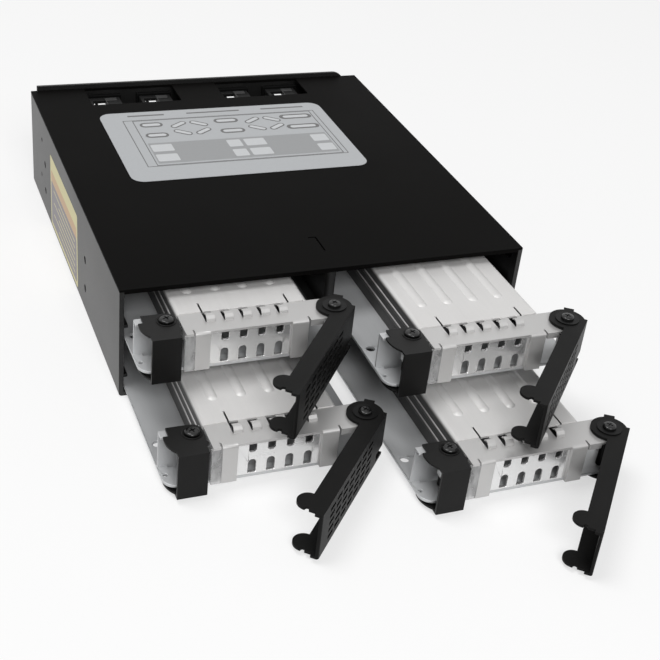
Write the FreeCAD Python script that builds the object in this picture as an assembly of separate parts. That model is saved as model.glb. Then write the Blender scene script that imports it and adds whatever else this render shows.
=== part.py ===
"""Hot swap drive cage: four small drive carriers in one half-height five and a quarter inch bay.

Millimetres. +X is right, +Y runs from the open front to the back, +Z is up.
The origin is the middle of the cage's underside. A carrier is modelled in its own frame: x from the
left edge of its tray, y from the front faces of its posts, z from the underside of its tray.
"""
import FreeCAD, Part
import math
import os

from FreeCAD import Placement, Rotation, Vector

# ---- Stock and clearances
SHEET = 0.8                # cage sheet steel
BEND = 1.2                 # outside radius of a cage bend
SLIDE_GAP = 0.2            # play of a tray beside and below its guide rails
RUN_GAP = 0.3              # gap between pieces that pass each other
TOUCH = 1e-6               # places nearer than this are the same
PIN_GAP = 0.05             # radial play of a pin or screw in its bore
PLUG_GAP = 0.3             # room round a socket in the opening it shows through
PAST = 1.0                 # how far a cutting shape runs past the face it cuts

# ---- Tray
TRAY_WIDTH = 68.4
TRAY_LENGTH = 151.8
TRAY_SHEET = 1.0
TRAY_SETBACK = 1.2         # tray edge behind the faces of the posts
TRAY_CORNER = 4.5          # radius of the front left corner
TRAY_HOLE_RADIUS = 1.5
TRAY_HOLE_X = 3.0
TRAY_HOLE_Y = 22.4
TRAY_DOT_RADIUS = 0.7      # small tooling hole in front of the upright
TRAY_DOT_X = 1.5
TRAY_DOT_Y = 6.8

# ---- Cover over the drive
COVER_X = 13.8             # left side of the cover from the tray's edge
COVER_WIDTH = 44.5
COVER_HEIGHT = 14.3        # top of the cover above the tray's underside
COVER_SHEET = 0.8
COVER_LENGTH = 139.2
COVER_BEND = 1.6
RIB_COUNT = 4
RIB_INSET = 7.1            # first rib's middle from the cover's left side
RIB_PITCH = 9.5
RIB_WIDTH = 3.5
RIB_RISE = 0.6
RIB_START = 11.5           # from the cover's front edge
RIB_END_GAP = 3.0
SIDE_RIB_HEIGHTS = (6.2, 10.0)
SIDE_RIB_WIDTH = 1.6
SIDE_RIB_RISE = 0.4
SLIT_WIDTH = 0.6
SLIT_LENGTH = 5.4
SLIT_PLACES = (8.2, 37.4)  # from the cover's left side

# ---- Carrier front
FRONT_SHEET = 0.8
FRONT_HEIGHT = 14.0        # top of the front above the tray's underside
FRONT_DEPTH = 11.8         # from the posts' faces to the cover
POST_DEPTH = 2.4
POST_BEND = 1.0            # radius of the bend from the top sheet into a post
EDGE_SETBACK = 0.4         # top sheet behind the posts where it crosses the vent panel
EDGE_SLIT = 0.6            # relief slit on the outer side of each post
LIP_HEIGHT = 2.2           # short flange bent down beside the right post
POST_LIP = 0.9             # how far the posts hang in front of the tray's edge
LEFT_POST_WIDTH = 4.9
RIGHT_POST_WIDTH = 5.5
VENT_WIDTH = 27.3
VENT_RECESS = 1.2
VENT_SHEET = 0.9
VENT_SLOT_COUNT = 4
VENT_SLOT_WIDTH = 2.6
VENT_SLOT_HEIGHT = 5.0
VENT_SLOT_FOOT = 0.6       # above the tray's top face
VENT_SLOT_INSET = 5.1      # first slot's middle from the left post
VENT_PITCH = 6.1
VENT_TOP_GAP = 0.6         # between the panel's fingers and the top sheet
NOTCH_WIDTH = 2.5
NOTCH_DEPTH = 3.0
NOTCH_CORNER = 0.6
FINGER_COUNT = 5           # earthing fingers that bow up out of the top sheet
FINGER_WIDTH = 2.8
FINGER_SHEET = 0.4
FINGER_RADIUS = 2.0
FINGER_TOE = 5.7           # root of a finger behind the posts' faces
FINGER_INSET = 1.6         # first finger's middle from the left post
FINGER_GAP = 0.2
FINGER_ANGLES = (180, 150, 115, 80, 40)
PIPE_WIDTH = 3.4
PIPE_LEG_HEIGHT = 4.0

# ---- Lever
PIVOT_INSET = 3.2          # pivot from the right edge of the tray
PIVOT_Y = 5.0
PIN_RADIUS = 1.5
PIN_HEAD_RADIUS = 2.2
PIN_HEAD = 0.5
PIN_COLLAR_RADIUS = 4.0
PIN_COLLAR = 0.25
PIN_END_GAP = 0.1
LEVER_FLANGE = 0.9
LEVER_WEB = 1.0
LEVER_HEEL = 3.0           # web behind the pivot
LEVER_DISK = 6.0
LEVER_INNER_EDGE = 0.3     # inner edge of the flanges in front of the pivot line
LEVER_TIP_GAP = 0.6
LOBE_CENTRE = 4.7          # from the lever's tip
LOBE_RADIUS = 3.5
HOOK_RADIUS = 0.7
HOOK_X = 1.4               # the hook notch from the tip
HOOK_BACK = 0.9            # and in front of the pivot line
TIP_RECESS = 1.1           # the flanges stop short of the web's end, behind the latch's nib
TIP_RECESS_START = 2.5     # from the web's outer face
TIP_CORNER = 0.8
NOSE_REACH = 7.2
NOSE_WIDTH = 3.4
NOSE_ANGLE = 8.0
HEEL_CUT = 2.6             # web cut away above the tray's underside at the heel
PERFORATION_ROWS = 5
PERFORATION_LENGTH = 4.1
PERFORATION_HEIGHT = 1.3
PERFORATION_PITCH = 5.4
PERFORATION_ROW_PITCH = 2.6
PERFORATION_START = 9.0    # from the pivot
PERFORATION_END = 5.0      # solid web at the tip, at least

# ---- Latch
LATCH_X = 2.7
LATCH_WIDTH = 10.5
LATCH_STEP = 1.0           # the front part is narrower by this
LATCH_FRONT = 2.6          # stands in front of the posts' faces
LATCH_BACK = 12.1          # rear edge of the top flange, over the upright
LATCH_TOP = 15.0
LATCH_SKIRT = 1.3          # hangs below the tray's underside
LATCH_FLANGE = 0.7
LATCH_WEB = 1.0
LATCH_CORNER = 3.0
LATCH_LEFT = 0.4           # leftmost point of the flanges' bowed edge
LATCH_NOTCH_X = 2.4        # the top flange leaves room for the upright's tab
LATCH_NOTCH_Y = 8.0
LATCH_NIB_X = 13.5         # nib that sits in the recess at the lever's tip
LATCH_NIB_Y = 2.4
LATCH_NIB_DEPTH = 1.0
LATCH_PIVOT_X = 9.6
LATCH_PIVOT_Y = 7.7
LATCH_PIN_RADIUS = 1.2
LATCH_BOSS_RADIUS = 1.9
LATCH_HEAD_RADIUS = 2.5
LATCH_HEAD = 0.6
SPRING_WIRE = 0.5
SPRING_FOOT = 5.0          # above the tray's underside
SPRING_LENGTH = 3.0
SPRING_END_GAP = 0.4       # between the spring's leg and the upright
BULKHEAD_SHEET = 0.8
BULKHEAD_X = 0.2
BULKHEAD_WIDTH = 13.0
BULKHEAD_TAB_WIDTH = 2.4
BULKHEAD_TAB_LENGTH = 2.8
BULKHEAD_SLIT_X = 3.2      # relief slit in the tray at the upright's foot
BULKHEAD_SLIT_WIDTH = 9.0
BULKHEAD_SLIT_DEPTH = 1.0

# ---- Cage
LEVEL_PITCH = 19.7
FIRST_TRAY = 3.0           # underside of the lower trays above the cage's underside
HEADROOM = 3.5             # above the upper covers
DIVIDER = 3.6
FRONT_STANDOFF = 12.0      # closed carriers' faces in front of the cage mouth
HEM_DEPTH = 4.0
COVER_FLANGE = 6.0
RAIL_WALL = 0.8
RAIL_LEDGE = 1.1
RAIL_REACH = 3.2
REAR_GAP = 1.0             # closed tray to its socket
SOCKET_DEPTH = 6.0
SOCKET_WIDTH = 38.0
SOCKET_HEIGHT = 5.2
SOCKET_FOOT = 3.5          # above the tray's underside
SOCKET_SLOT = 1.6
SOCKET_SLOT_DEPTH = 4.0
SOCKET_CHEEK = 2.0
BOARD = 1.6
BOARD_EDGE_GAP = 0.2
CABLE_SPACE = 14.2         # from the board to the rear plate
REAR_SHEET = 1.0
REAR_PLATE_TOP = 2.0       # stands above the cage's top
REAR_PLATE_LEFT = 2.5      # in from the cage's left side
REAR_PLATE_RIGHT = 5.0
REAR_PLATE_FOOT = 0.5
REAR_PLATE_CORNER = 6.0
EAR_REACH = 9.0
EAR_FOOT = 6.0
EAR_HEAD = 35.0
EAR_SCREW_HEIGHTS = (10.0, 31.0)

WINDOW_WIDTH = 38.0
WINDOW_CENTRES = (-32.0, 25.0)
WINDOW_FRONT = 2.0         # in front of the board's face
CABLE_SOCKET_OFFSET = 11.0 # either side of a window's middle
CABLE_SOCKET_WIDTH = 13.4
CABLE_SOCKET_DEPTH = 12.0
CABLE_SOCKET_HEIGHT = 9.0
CABLE_SOCKET_TOP = 3.7     # below the top cover's upper face
CABLE_SOCKET_WALL = 1.4
CABLE_TONGUE = 1.3
CLIP_WIDTH = 5.0
CLIP_SHEET = 0.5
POWER_X = 40.0
POWER_FOOT = 8.0
POWER_WIDTH = 22.4
POWER_HEIGHT = 10.6
POWER_WALL = 1.2
POWER_PIN_RADIUS = 1.05
POWER_PIN_PITCH = 5.08
SPACER_INSET = 15.5        # from the cage's side
SPACER_HEIGHTS = (20.0, 35.5)
SPACER_RADIUS = 2.9
SCREW_RADIUS = 1.3
SCREW_HEAD_RADIUS = 2.6
SCREW_HEAD = 1.6
SCREW_GRIP = 3.0           # thread inside a spacer or an ear

MOUNT_RADIUS = 1.5         # M3
MOUNT_SPACING_Y = 79.25
MOUNT_FIRST_Y = 54.4       # behind the cage's front edge
MOUNT_HEIGHTS = (10.0, 21.84)
MOUNT_SPACING_X = 139.7
MOUNT_RELIEF = 0.7
PILOT_RADIUS = 1.0
PILOTS = ((6.1, 30.1), (8.4, 13.6))  # behind the rear mounting holes, and height

VENT_HOLE_WIDTH = 3.0
VENT_HOLE_HEIGHT = 14.0
VENT_HOLE_PITCH = 6.0
BOARD_VENT_WIDTH = 14.0
BOARD_VENT_HEIGHT = 4.0

# ---- Worked out from the sizes above
PIVOT_X = TRAY_WIDTH - PIVOT_INSET
BAY_WIDTH = TRAY_WIDTH + 2 * (RAIL_WALL + SLIDE_GAP)
BAY_PITCH = BAY_WIDTH + DIVIDER
CAGE_WIDTH = 2 * (SHEET + BAY_WIDTH) + DIVIDER
SIDE = CAGE_WIDTH / 2
SPACER_X = SIDE - SPACER_INSET
WALL_TOP = FIRST_TRAY + LEVEL_PITCH + COVER_HEIGHT + HEADROOM
CAGE_TOP = WALL_TOP + SHEET
TRAY_REACH = TRAY_SETBACK + TRAY_LENGTH
CAGE_DEPTH = TRAY_REACH - FRONT_STANDOFF + REAR_GAP + SOCKET_DEPTH + BOARD + CABLE_SPACE
FRONT = -CAGE_DEPTH / 2
BACK = CAGE_DEPTH / 2
BOARD_BACK = BACK - CABLE_SPACE
BOARD_FRONT = BOARD_BACK - BOARD
TRAY_LEFT = -SIDE + SHEET + RAIL_WALL + SLIDE_GAP
TRAY_END = BOARD_FRONT - SOCKET_DEPTH - REAR_GAP
CABLE_SOCKETS = [
    middle + side * CABLE_SOCKET_OFFSET for middle in WINDOW_CENTRES for side in (-1, 1)
]
CABLE_TOP = CAGE_TOP - CABLE_SOCKET_TOP
COVER_RIGHT = COVER_X + COVER_WIDTH
LEFT_POST = COVER_X + PIPE_WIDTH
VENT_LEFT = LEFT_POST + LEFT_POST_WIDTH
VENT_RIGHT = VENT_LEFT + VENT_WIDTH
RIGHT_POST_END = VENT_RIGHT + RIGHT_POST_WIDTH
LATCH_RIGHT = LATCH_X + LATCH_WIDTH
LEVER_LENGTH = PIVOT_X - (LATCH_RIGHT - LATCH_STEP + LEVER_TIP_GAP)
PERFORATION_COLUMNS = int((LEVER_LENGTH - PERFORATION_START - PERFORATION_END) / PERFORATION_PITCH)
LEVER_FACE = PIVOT_Y + RUN_GAP + LEVER_WEB
LEVER_TOP = FRONT_HEIGHT + RUN_GAP + LEVER_FLANGE
LEVER_FOOT = -RUN_GAP - LEVER_FLANGE
LATCH_STEP_Y = PIVOT_Y - LEVER_INNER_EDGE + 2 * RUN_GAP

# Each carrier: column, level, how far it is pulled out, how far its lever is swung open
CARRIERS = {
    1: (0, 1, 10.6, 51.0),
    2: (1, 1, 34.8, 47.0),
    3: (0, 0, 43.3, 48.0),
    4: (1, 0, 69.5, 50.0),
}


# ---- Shapes
def box(x0, x1, y0, y1, z0, z1):
    """Block between two corners."""
    return Part.makeBox(x1 - x0, y1 - y0, z1 - z0, Vector(x0, y0, z0))


def rod(x, y, z0, z1, radius):
    """Upright cylinder."""
    return Part.makeCylinder(radius, z1 - z0, Vector(x, y, z0))


def rod_x(x0, x1, y, z, radius):
    """Cylinder along X."""
    return Part.makeCylinder(radius, x1 - x0, Vector(x0, y, z), Vector(1, 0, 0))


def rod_y(x, y0, y1, z, radius):
    """Cylinder along Y."""
    return Part.makeCylinder(radius, y1 - y0, Vector(x, y0, z), Vector(0, 1, 0))


def round_edges(shape, radius, chosen):
    """Fillet the straight edges for which chosen(edge box) is true."""
    edges = [edge for edge in shape.Edges if chosen(edge.BoundBox)]
    return shape.makeFillet(radius, edges) if edges and radius > 0 else shape


def upright(x=None, y=None):
    """Choose upright edges at an x and a y."""
    def chosen(bounds):
        here = bounds.XLength < TOUCH and bounds.YLength < TOUCH
        return (here and (x is None or abs(bounds.XMin - x) < TOUCH)
                and (y is None or abs(bounds.YMin - y) < TOUCH))
    return chosen


def lengthwise(z):
    """Choose edges along Y at a height."""
    def chosen(bounds):
        return bounds.XLength < TOUCH and bounds.ZLength < TOUCH and abs(bounds.ZMin - z) < TOUCH
    return chosen


def crosswise(y, z):
    """Choose edges along X at a y and a height."""
    def chosen(bounds):
        here = bounds.YLength < TOUCH and bounds.ZLength < TOUCH
        return here and abs(bounds.YMin - y) < TOUCH and abs(bounds.ZMin - z) < TOUCH
    return chosen


def one_solid(shape):
    """Merge faces and return the single solid."""
    shape = shape.removeSplitter()
    return shape.Solids[0] if len(shape.Solids) == 1 else shape


# ---- Cage
def cage_base():
    """Floor and side walls folded from one sheet, hemmed in front, with ears for the rear plate."""
    outer = round_edges(box(-SIDE, SIDE, FRONT, BACK, 0, WALL_TOP), BEND, lengthwise(0))
    inner = box(-SIDE + SHEET, SIDE - SHEET, FRONT - PAST, BACK + PAST, SHEET, WALL_TOP + PAST)
    shell = outer.cut(round_edges(inner, BEND - SHEET, lengthwise(SHEET)))
    floor_hem = box(-SIDE + SHEET, SIDE - SHEET, FRONT, FRONT + HEM_DEPTH, SHEET, 2 * SHEET)
    extras = [floor_hem]
    for side in (-1, 1):
        inside = side * (SIDE - SHEET)
        hem = sorted((inside, inside - side * SHEET))
        extras.append(box(*hem, FRONT, FRONT + HEM_DEPTH, SHEET, WALL_TOP))
        ear = sorted((inside, inside - side * EAR_REACH))
        extras.append(box(*ear, BACK - SHEET, BACK, EAR_FOOT, EAR_HEAD))
    base = shell.fuse(extras)
    cuts = []
    for y in mount_rows():
        cuts += [rod_x(-SIDE - PAST, SIDE + PAST, y, z, MOUNT_RADIUS) for z in MOUNT_HEIGHTS]
        cuts += [rod(x, y, -PAST, SHEET + PAST, MOUNT_RADIUS)
                 for x in (-MOUNT_SPACING_X / 2, MOUNT_SPACING_X / 2)]
    for behind, z in PILOTS:
        cuts.append(rod_x(-SIDE - PAST, SIDE + PAST, mount_rows()[1] + behind, z, PILOT_RADIUS))
    for x, z in ear_screws():
        cuts.append(rod_y(x, BACK - SHEET - PAST, BACK + PAST, z, SCREW_RADIUS + PIN_GAP))
    return one_solid(base.cut(cuts))


def mount_rows():
    """Front and rear row of mounting holes, along Y."""
    first = FRONT + MOUNT_FIRST_Y
    return first, first + MOUNT_SPACING_Y


def ear_screws():
    """Places of the screws that hold the rear plate to the ears."""
    x = SIDE - REAR_PLATE_RIGHT - SCREW_HEAD_RADIUS
    return [(side * x, z) for side in (-1, 1) for z in EAR_SCREW_HEIGHTS]


def spacer_places():
    """Places of the spacers between the board and the rear plate."""
    return [(side * SPACER_X, z) for side in (-1, 1) for z in SPACER_HEIGHTS]


def top_cover():
    """Flat lid with a front hem, side flanges inside the walls and two windows over the cables."""
    lid = box(-SIDE, SIDE, FRONT, BACK, WALL_TOP, CAGE_TOP)
    inside = SIDE - 2 * SHEET - PIN_GAP
    hem = box(-inside, inside, FRONT, FRONT + HEM_DEPTH, WALL_TOP - SHEET, WALL_TOP)
    extras = [hem]
    for side in (-1, 1):
        span = sorted((side * (SIDE - SHEET), side * (SIDE - 2 * SHEET)))
        start = FRONT + HEM_DEPTH + 2 * SHEET
        extras.append(box(*span, start, BACK - 2 * SHEET, WALL_TOP - COVER_FLANGE, WALL_TOP))
    lid = lid.fuse(extras)
    cuts = []
    for middle in WINDOW_CENTRES:
        window = box(middle - WINDOW_WIDTH / 2, middle + WINDOW_WIDTH / 2,
                     BOARD_FRONT - WINDOW_FRONT, BACK - SHEET, WALL_TOP - PAST, CAGE_TOP + PAST)
        cuts.append(round_edges(window, SHEET, upright()))
    edge = DIVIDER / 2 - SLIT_WIDTH
    lance_front = FRONT + 3 * HEM_DEPTH
    lance_back = lance_front + 2.5 * HEM_DEPTH
    cuts.append(box(edge, edge + SLIT_WIDTH, lance_front, lance_back, WALL_TOP, CAGE_TOP + PAST))
    cuts.append(box(-edge, edge, lance_back - SLIT_WIDTH, lance_back, WALL_TOP, CAGE_TOP + PAST))
    return one_solid(lid.cut(cuts))


def centre_divider():
    """Folded wall between the two columns of carriers, open at the back."""
    back = BOARD_FRONT - BOARD_EDGE_GAP
    front = FRONT + RUN_GAP
    outer = box(-DIVIDER / 2, DIVIDER / 2, front, back, SHEET, WALL_TOP)
    outer = round_edges(outer, DIVIDER / 3, upright(y=front))
    hollow = box(-DIVIDER / 2 + SHEET, DIVIDER / 2 - SHEET, front + 2 * SHEET, back + PAST, 2 * SHEET,
                 WALL_TOP - SHEET)
    notch_end = FRONT + HEM_DEPTH + PIN_GAP
    notches = [box(-DIVIDER, DIVIDER, front - PAST, notch_end, SHEET - PAST, 2 * SHEET),
               box(-DIVIDER, DIVIDER, front - PAST, notch_end, WALL_TOP - SHEET, WALL_TOP + PAST)]
    return one_solid(outer.cut([hollow] + notches))


def rear_plate():
    """Plate over the back with openings for the sockets, air slots and screw holes."""
    plate = box(-SIDE + REAR_PLATE_LEFT, SIDE - REAR_PLATE_RIGHT, BACK, BACK + REAR_SHEET,
                REAR_PLATE_FOOT, CAGE_TOP + REAR_PLATE_TOP)
    right = SIDE - REAR_PLATE_RIGHT
    top = CAGE_TOP + REAR_PLATE_TOP

    def corner(bounds):
        """Choose the top right edge through the sheet."""
        return (bounds.XLength < TOUCH and bounds.ZLength < TOUCH
                and abs(bounds.XMin - right) < TOUCH and abs(bounds.ZMin - top) < TOUCH)

    plate = round_edges(plate, REAR_PLATE_CORNER, corner)
    cuts = []
    for x in CABLE_SOCKETS:
        half = CABLE_SOCKET_WIDTH / 2 + PLUG_GAP
        cuts.append(box(x - half, x + half, BACK - PAST, BACK + REAR_SHEET + PAST,
                        CABLE_TOP - CABLE_SOCKET_HEIGHT - PLUG_GAP, CABLE_TOP + PLUG_GAP))
    half = POWER_WIDTH / 2 + PLUG_GAP
    cuts.append(box(POWER_X - half, POWER_X + half, BACK - PAST, BACK + REAR_SHEET + PAST,
                    POWER_FOOT - PLUG_GAP, POWER_FOOT + POWER_HEIGHT + PLUG_GAP))
    first = -SPACER_X + 3 * SPACER_RADIUS
    last = POWER_X - half - VENT_HOLE_PITCH
    for index in range(int((last - first) / VENT_HOLE_PITCH) + 1):
        x = first + index * VENT_HOLE_PITCH
        cuts.append(box(x - VENT_HOLE_WIDTH / 2, x + VENT_HOLE_WIDTH / 2, BACK - PAST,
                        BACK + REAR_SHEET + PAST,
                        POWER_FOOT, POWER_FOOT + VENT_HOLE_HEIGHT))
    for x, z in ear_screws() + spacer_places():
        cuts.append(rod_y(x, BACK - PAST, BACK + REAR_SHEET + PAST, z, SCREW_RADIUS + PIN_GAP))
    return one_solid(plate.cut(cuts))


def backplane_board():
    """Circuit board that carries the sockets, with air openings between them."""
    edge = SIDE - 2 * SHEET - BOARD_EDGE_GAP
    board = box(-edge, edge, BOARD_FRONT, BOARD_BACK, 2 * SHEET, WALL_TOP - SHEET - BOARD_EDGE_GAP)
    cuts = []
    for column, level, _pulled, _angle in CARRIERS.values():
        middle = TRAY_LEFT + column * BAY_PITCH + COVER_X + COVER_WIDTH / 2
        foot = FIRST_TRAY + level * LEVEL_PITCH + SOCKET_FOOT + SOCKET_HEIGHT + SHEET
        for side in (-1, 1):
            x = middle + side * (BOARD_VENT_WIDTH / 2 + SHEET)
            vent = box(x - BOARD_VENT_WIDTH / 2, x + BOARD_VENT_WIDTH / 2, BOARD_FRONT - PAST,
                       BOARD_BACK + PAST,
                       foot, foot + BOARD_VENT_HEIGHT)
            cuts.append(vent)
    for x, z in spacer_places():
        cuts.append(rod_y(x, BOARD_FRONT - PAST, BOARD_BACK + PAST, z, SCREW_RADIUS + PIN_GAP))
    return one_solid(board.cut(cuts))


def drive_socket(column, level):
    """Wide socket on the board's face that a drive plugs into."""
    middle = TRAY_LEFT + column * BAY_PITCH + COVER_X + COVER_WIDTH / 2
    foot = FIRST_TRAY + level * LEVEL_PITCH + SOCKET_FOOT
    half = SOCKET_WIDTH / 2
    front = BOARD_FRONT - SOCKET_DEPTH
    body = box(middle - half, middle + half, front, BOARD_FRONT, foot, foot + SOCKET_HEIGHT)
    slot_foot = foot + (SOCKET_HEIGHT - SOCKET_SLOT) / 2
    slot = box(middle - half + SOCKET_CHEEK, middle + half - SOCKET_CHEEK, front - PAST,
               front + SOCKET_SLOT_DEPTH,
               slot_foot, slot_foot + SOCKET_SLOT)
    body = round_edges(body, SOCKET_CHEEK / 2, upright(y=front))
    return one_solid(body.cut(slot))


def cable_socket(x):
    """Data socket on the board's back: a shroud with an L-shaped tongue inside."""
    half = CABLE_SOCKET_WIDTH / 2
    foot = CABLE_TOP - CABLE_SOCKET_HEIGHT
    back = BOARD_BACK + CABLE_SOCKET_DEPTH
    body = box(x - half, x + half, BOARD_BACK, back, foot, CABLE_TOP)
    inner = half - CABLE_SOCKET_WALL
    cavity = box(x - inner, x + inner, BOARD_BACK + 2 * CABLE_SOCKET_WALL, back + PAST,
                 foot + CABLE_SOCKET_WALL, CABLE_TOP - CABLE_SOCKET_WALL)
    middle = foot + CABLE_SOCKET_HEIGHT / 2
    reach = inner - CABLE_TONGUE
    tongue = box(x - reach, x + reach, BOARD_BACK + CABLE_SOCKET_WALL, back - CABLE_TONGUE,
                 middle - CABLE_TONGUE / 2, middle + CABLE_TONGUE / 2)
    hook = box(x - reach, x - reach + CABLE_TONGUE, BOARD_BACK + CABLE_SOCKET_WALL, back - CABLE_TONGUE,
               middle, middle + 2 * CABLE_TONGUE)
    latch_window = box(x - inner, x, BOARD_BACK + 2 * CABLE_SOCKET_WALL, back - 2 * CABLE_SOCKET_WALL,
                       CABLE_TOP - CABLE_SOCKET_WALL - PAST, CABLE_TOP + PAST)
    return one_solid(body.cut([cavity, latch_window]).fuse([tongue, hook]))


def socket_clip(x):
    """Bent spring clip on top of a data socket."""
    front = BOARD_BACK + CABLE_SOCKET_WALL
    back = BOARD_BACK + CABLE_SOCKET_DEPTH - CABLE_SOCKET_WALL
    arm = box(x, x + CLIP_SHEET, front, back, CABLE_TOP, CABLE_TOP + CLIP_SHEET)
    head = box(x, x + CLIP_WIDTH, back - 2 * CABLE_SOCKET_WALL, back, CABLE_TOP, CABLE_TOP + CLIP_SHEET)
    return one_solid(arm.fuse(head))


def power_socket():
    """Four-pin power inlet on the board's back."""
    half = POWER_WIDTH / 2
    back = BOARD_BACK + CABLE_SOCKET_DEPTH
    body = box(POWER_X - half, POWER_X + half, BOARD_BACK, back, POWER_FOOT, POWER_FOOT + POWER_HEIGHT)
    body = round_edges(body, POWER_WALL, lengthwise(POWER_FOOT + POWER_HEIGHT))
    cavity = box(POWER_X - half + POWER_WALL, POWER_X + half - POWER_WALL, BOARD_BACK + 2 * POWER_WALL,
                 back + PAST,
                 POWER_FOOT + POWER_WALL, POWER_FOOT + POWER_HEIGHT - POWER_WALL)
    pins = []
    for index in range(4):
        x = POWER_X + (index - 1.5) * POWER_PIN_PITCH
        pins.append(rod_y(x, BOARD_BACK + POWER_WALL, back - POWER_WALL,
                          POWER_FOOT + POWER_HEIGHT / 2, POWER_PIN_RADIUS))
    return one_solid(body.cut(cavity).fuse(pins))


def hexagon(x, z, y0, y1, radius):
    """Six-sided bar along Y."""
    points = []
    for index in range(7):
        angle = math.radians(60 * index)
        points.append(Vector(x + radius * math.cos(angle), y0, z + radius * math.sin(angle)))
    return Part.Face(Part.makePolygon(points)).extrude(Vector(0, y1 - y0, 0))


def board_spacer(x, z):
    """Six-sided spacer with a threaded bore."""
    bar = hexagon(x, z, BOARD_BACK, BACK, SPACER_RADIUS)
    return one_solid(bar.cut(rod_y(x, BOARD_BACK - PAST, BACK + PAST, z, SCREW_RADIUS + PIN_GAP)))


def screw(x, z, seat, into):
    """Hexagon screw whose head sits on the plane y = seat; into is 1 or -1 along Y."""
    grip = BOARD + SCREW_GRIP if into > 0 else REAR_SHEET + SCREW_GRIP
    shank = rod_y(x, *sorted((seat, seat + into * grip)), z, SCREW_RADIUS)
    head = hexagon(x, z, *sorted((seat, seat - into * SCREW_HEAD)), SCREW_HEAD_RADIUS)
    return one_solid(shank.fuse(head))


def guide_rail(column, level, side):
    """Channel that a tray's edge slides in, against a cage wall or the divider."""
    left = -SIDE + SHEET + column * BAY_PITCH
    foot = FIRST_TRAY + level * LEVEL_PITCH - SLIDE_GAP / 2 - RAIL_LEDGE
    head = FIRST_TRAY + level * LEVEL_PITCH + TRAY_SHEET + SLIDE_GAP + RAIL_LEDGE
    start = FRONT + HEM_DEPTH + 2 * RUN_GAP
    web = box(0, RAIL_WALL, start, TRAY_END, foot, head)
    lower = box(0, RAIL_REACH, start, TRAY_END, foot, foot + RAIL_LEDGE)
    upper = box(0, RAIL_REACH, start, TRAY_END, head - RAIL_LEDGE, head)
    rail = web.fuse([lower, upper])
    outer_wall = (column == 0) == (side < 0)
    if outer_wall:
        relief = MOUNT_RADIUS + MOUNT_RELIEF
        rail = rail.cut([rod_x(-PAST, RAIL_REACH + PAST, y, z, relief)
                         for y in mount_rows() for z in MOUNT_HEIGHTS])
    rail = one_solid(rail)
    if side > 0:
        rail = rail.mirror(Vector(0, 0, 0), Vector(1, 0, 0))
        left += BAY_WIDTH
    rail.translate(Vector(left, 0, 0))
    return rail


# ---- Carrier, in its own frame
def tray():
    """Base plate with a rounded corner, and the upright that backs the latch."""
    plate = box(0, TRAY_WIDTH, TRAY_SETBACK, TRAY_REACH, 0, TRAY_SHEET)
    plate = round_edges(plate, TRAY_CORNER, upright(0, TRAY_SETBACK))
    face = FRONT_DEPTH - BULKHEAD_SHEET / 2
    upstand = box(BULKHEAD_X, BULKHEAD_X + BULKHEAD_WIDTH, face, face + BULKHEAD_SHEET, 0, FRONT_HEIGHT)
    tab = box(BULKHEAD_X, BULKHEAD_X + BULKHEAD_TAB_WIDTH, FRONT_DEPTH - BULKHEAD_TAB_LENGTH,
              FRONT_DEPTH, FRONT_HEIGHT - BULKHEAD_SHEET, FRONT_HEIGHT)
    cuts = [
        rod(TRAY_HOLE_X, TRAY_HOLE_Y, -PAST, TRAY_SHEET + PAST, TRAY_HOLE_RADIUS),
        rod(TRAY_DOT_X, TRAY_DOT_Y, -PAST, TRAY_SHEET + PAST, TRAY_DOT_RADIUS),
        rod(PIVOT_X, PIVOT_Y, -PAST, TRAY_SHEET + PAST, PIN_RADIUS + PIN_GAP),
        rod(LATCH_PIVOT_X, LATCH_PIVOT_Y, -PAST, TRAY_SHEET + PAST, LATCH_PIN_RADIUS + PIN_GAP),
        box(BULKHEAD_SLIT_X, BULKHEAD_SLIT_X + BULKHEAD_SLIT_WIDTH, face - BULKHEAD_SLIT_DEPTH, face,
            -PAST, TRAY_SHEET + PAST),
    ]
    return one_solid(plate.fuse([upstand, tab]).cut(cuts))


def rib(x, y0, y1, z, width, rise):
    """Embossed bead along Y on a face that looks up: round in front, sloping at the back."""
    half = width / 2
    radius = (half * half + rise * rise) / (2 * rise)
    axis = z + rise - radius
    long = Part.makeCylinder(radius, y1 - y0 - half, Vector(x, y0 + half, axis), Vector(0, 1, 0))
    bead = long.fuse(Part.makeSphere(radius, Vector(x, y0 + half, axis)))
    bead = bead.common(box(x - half, x + half, y0, y1, z, z + rise + PAST))
    slope = Part.makePolygon([Vector(x - width, y1, z), Vector(x - width, y1, z + 2 * rise),
                              Vector(x - width, y1 - width, z + 2 * rise), Vector(x - width, y1, z)])
    return bead.cut(Part.Face(slope).extrude(Vector(2 * width, 0, 0)))


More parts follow.
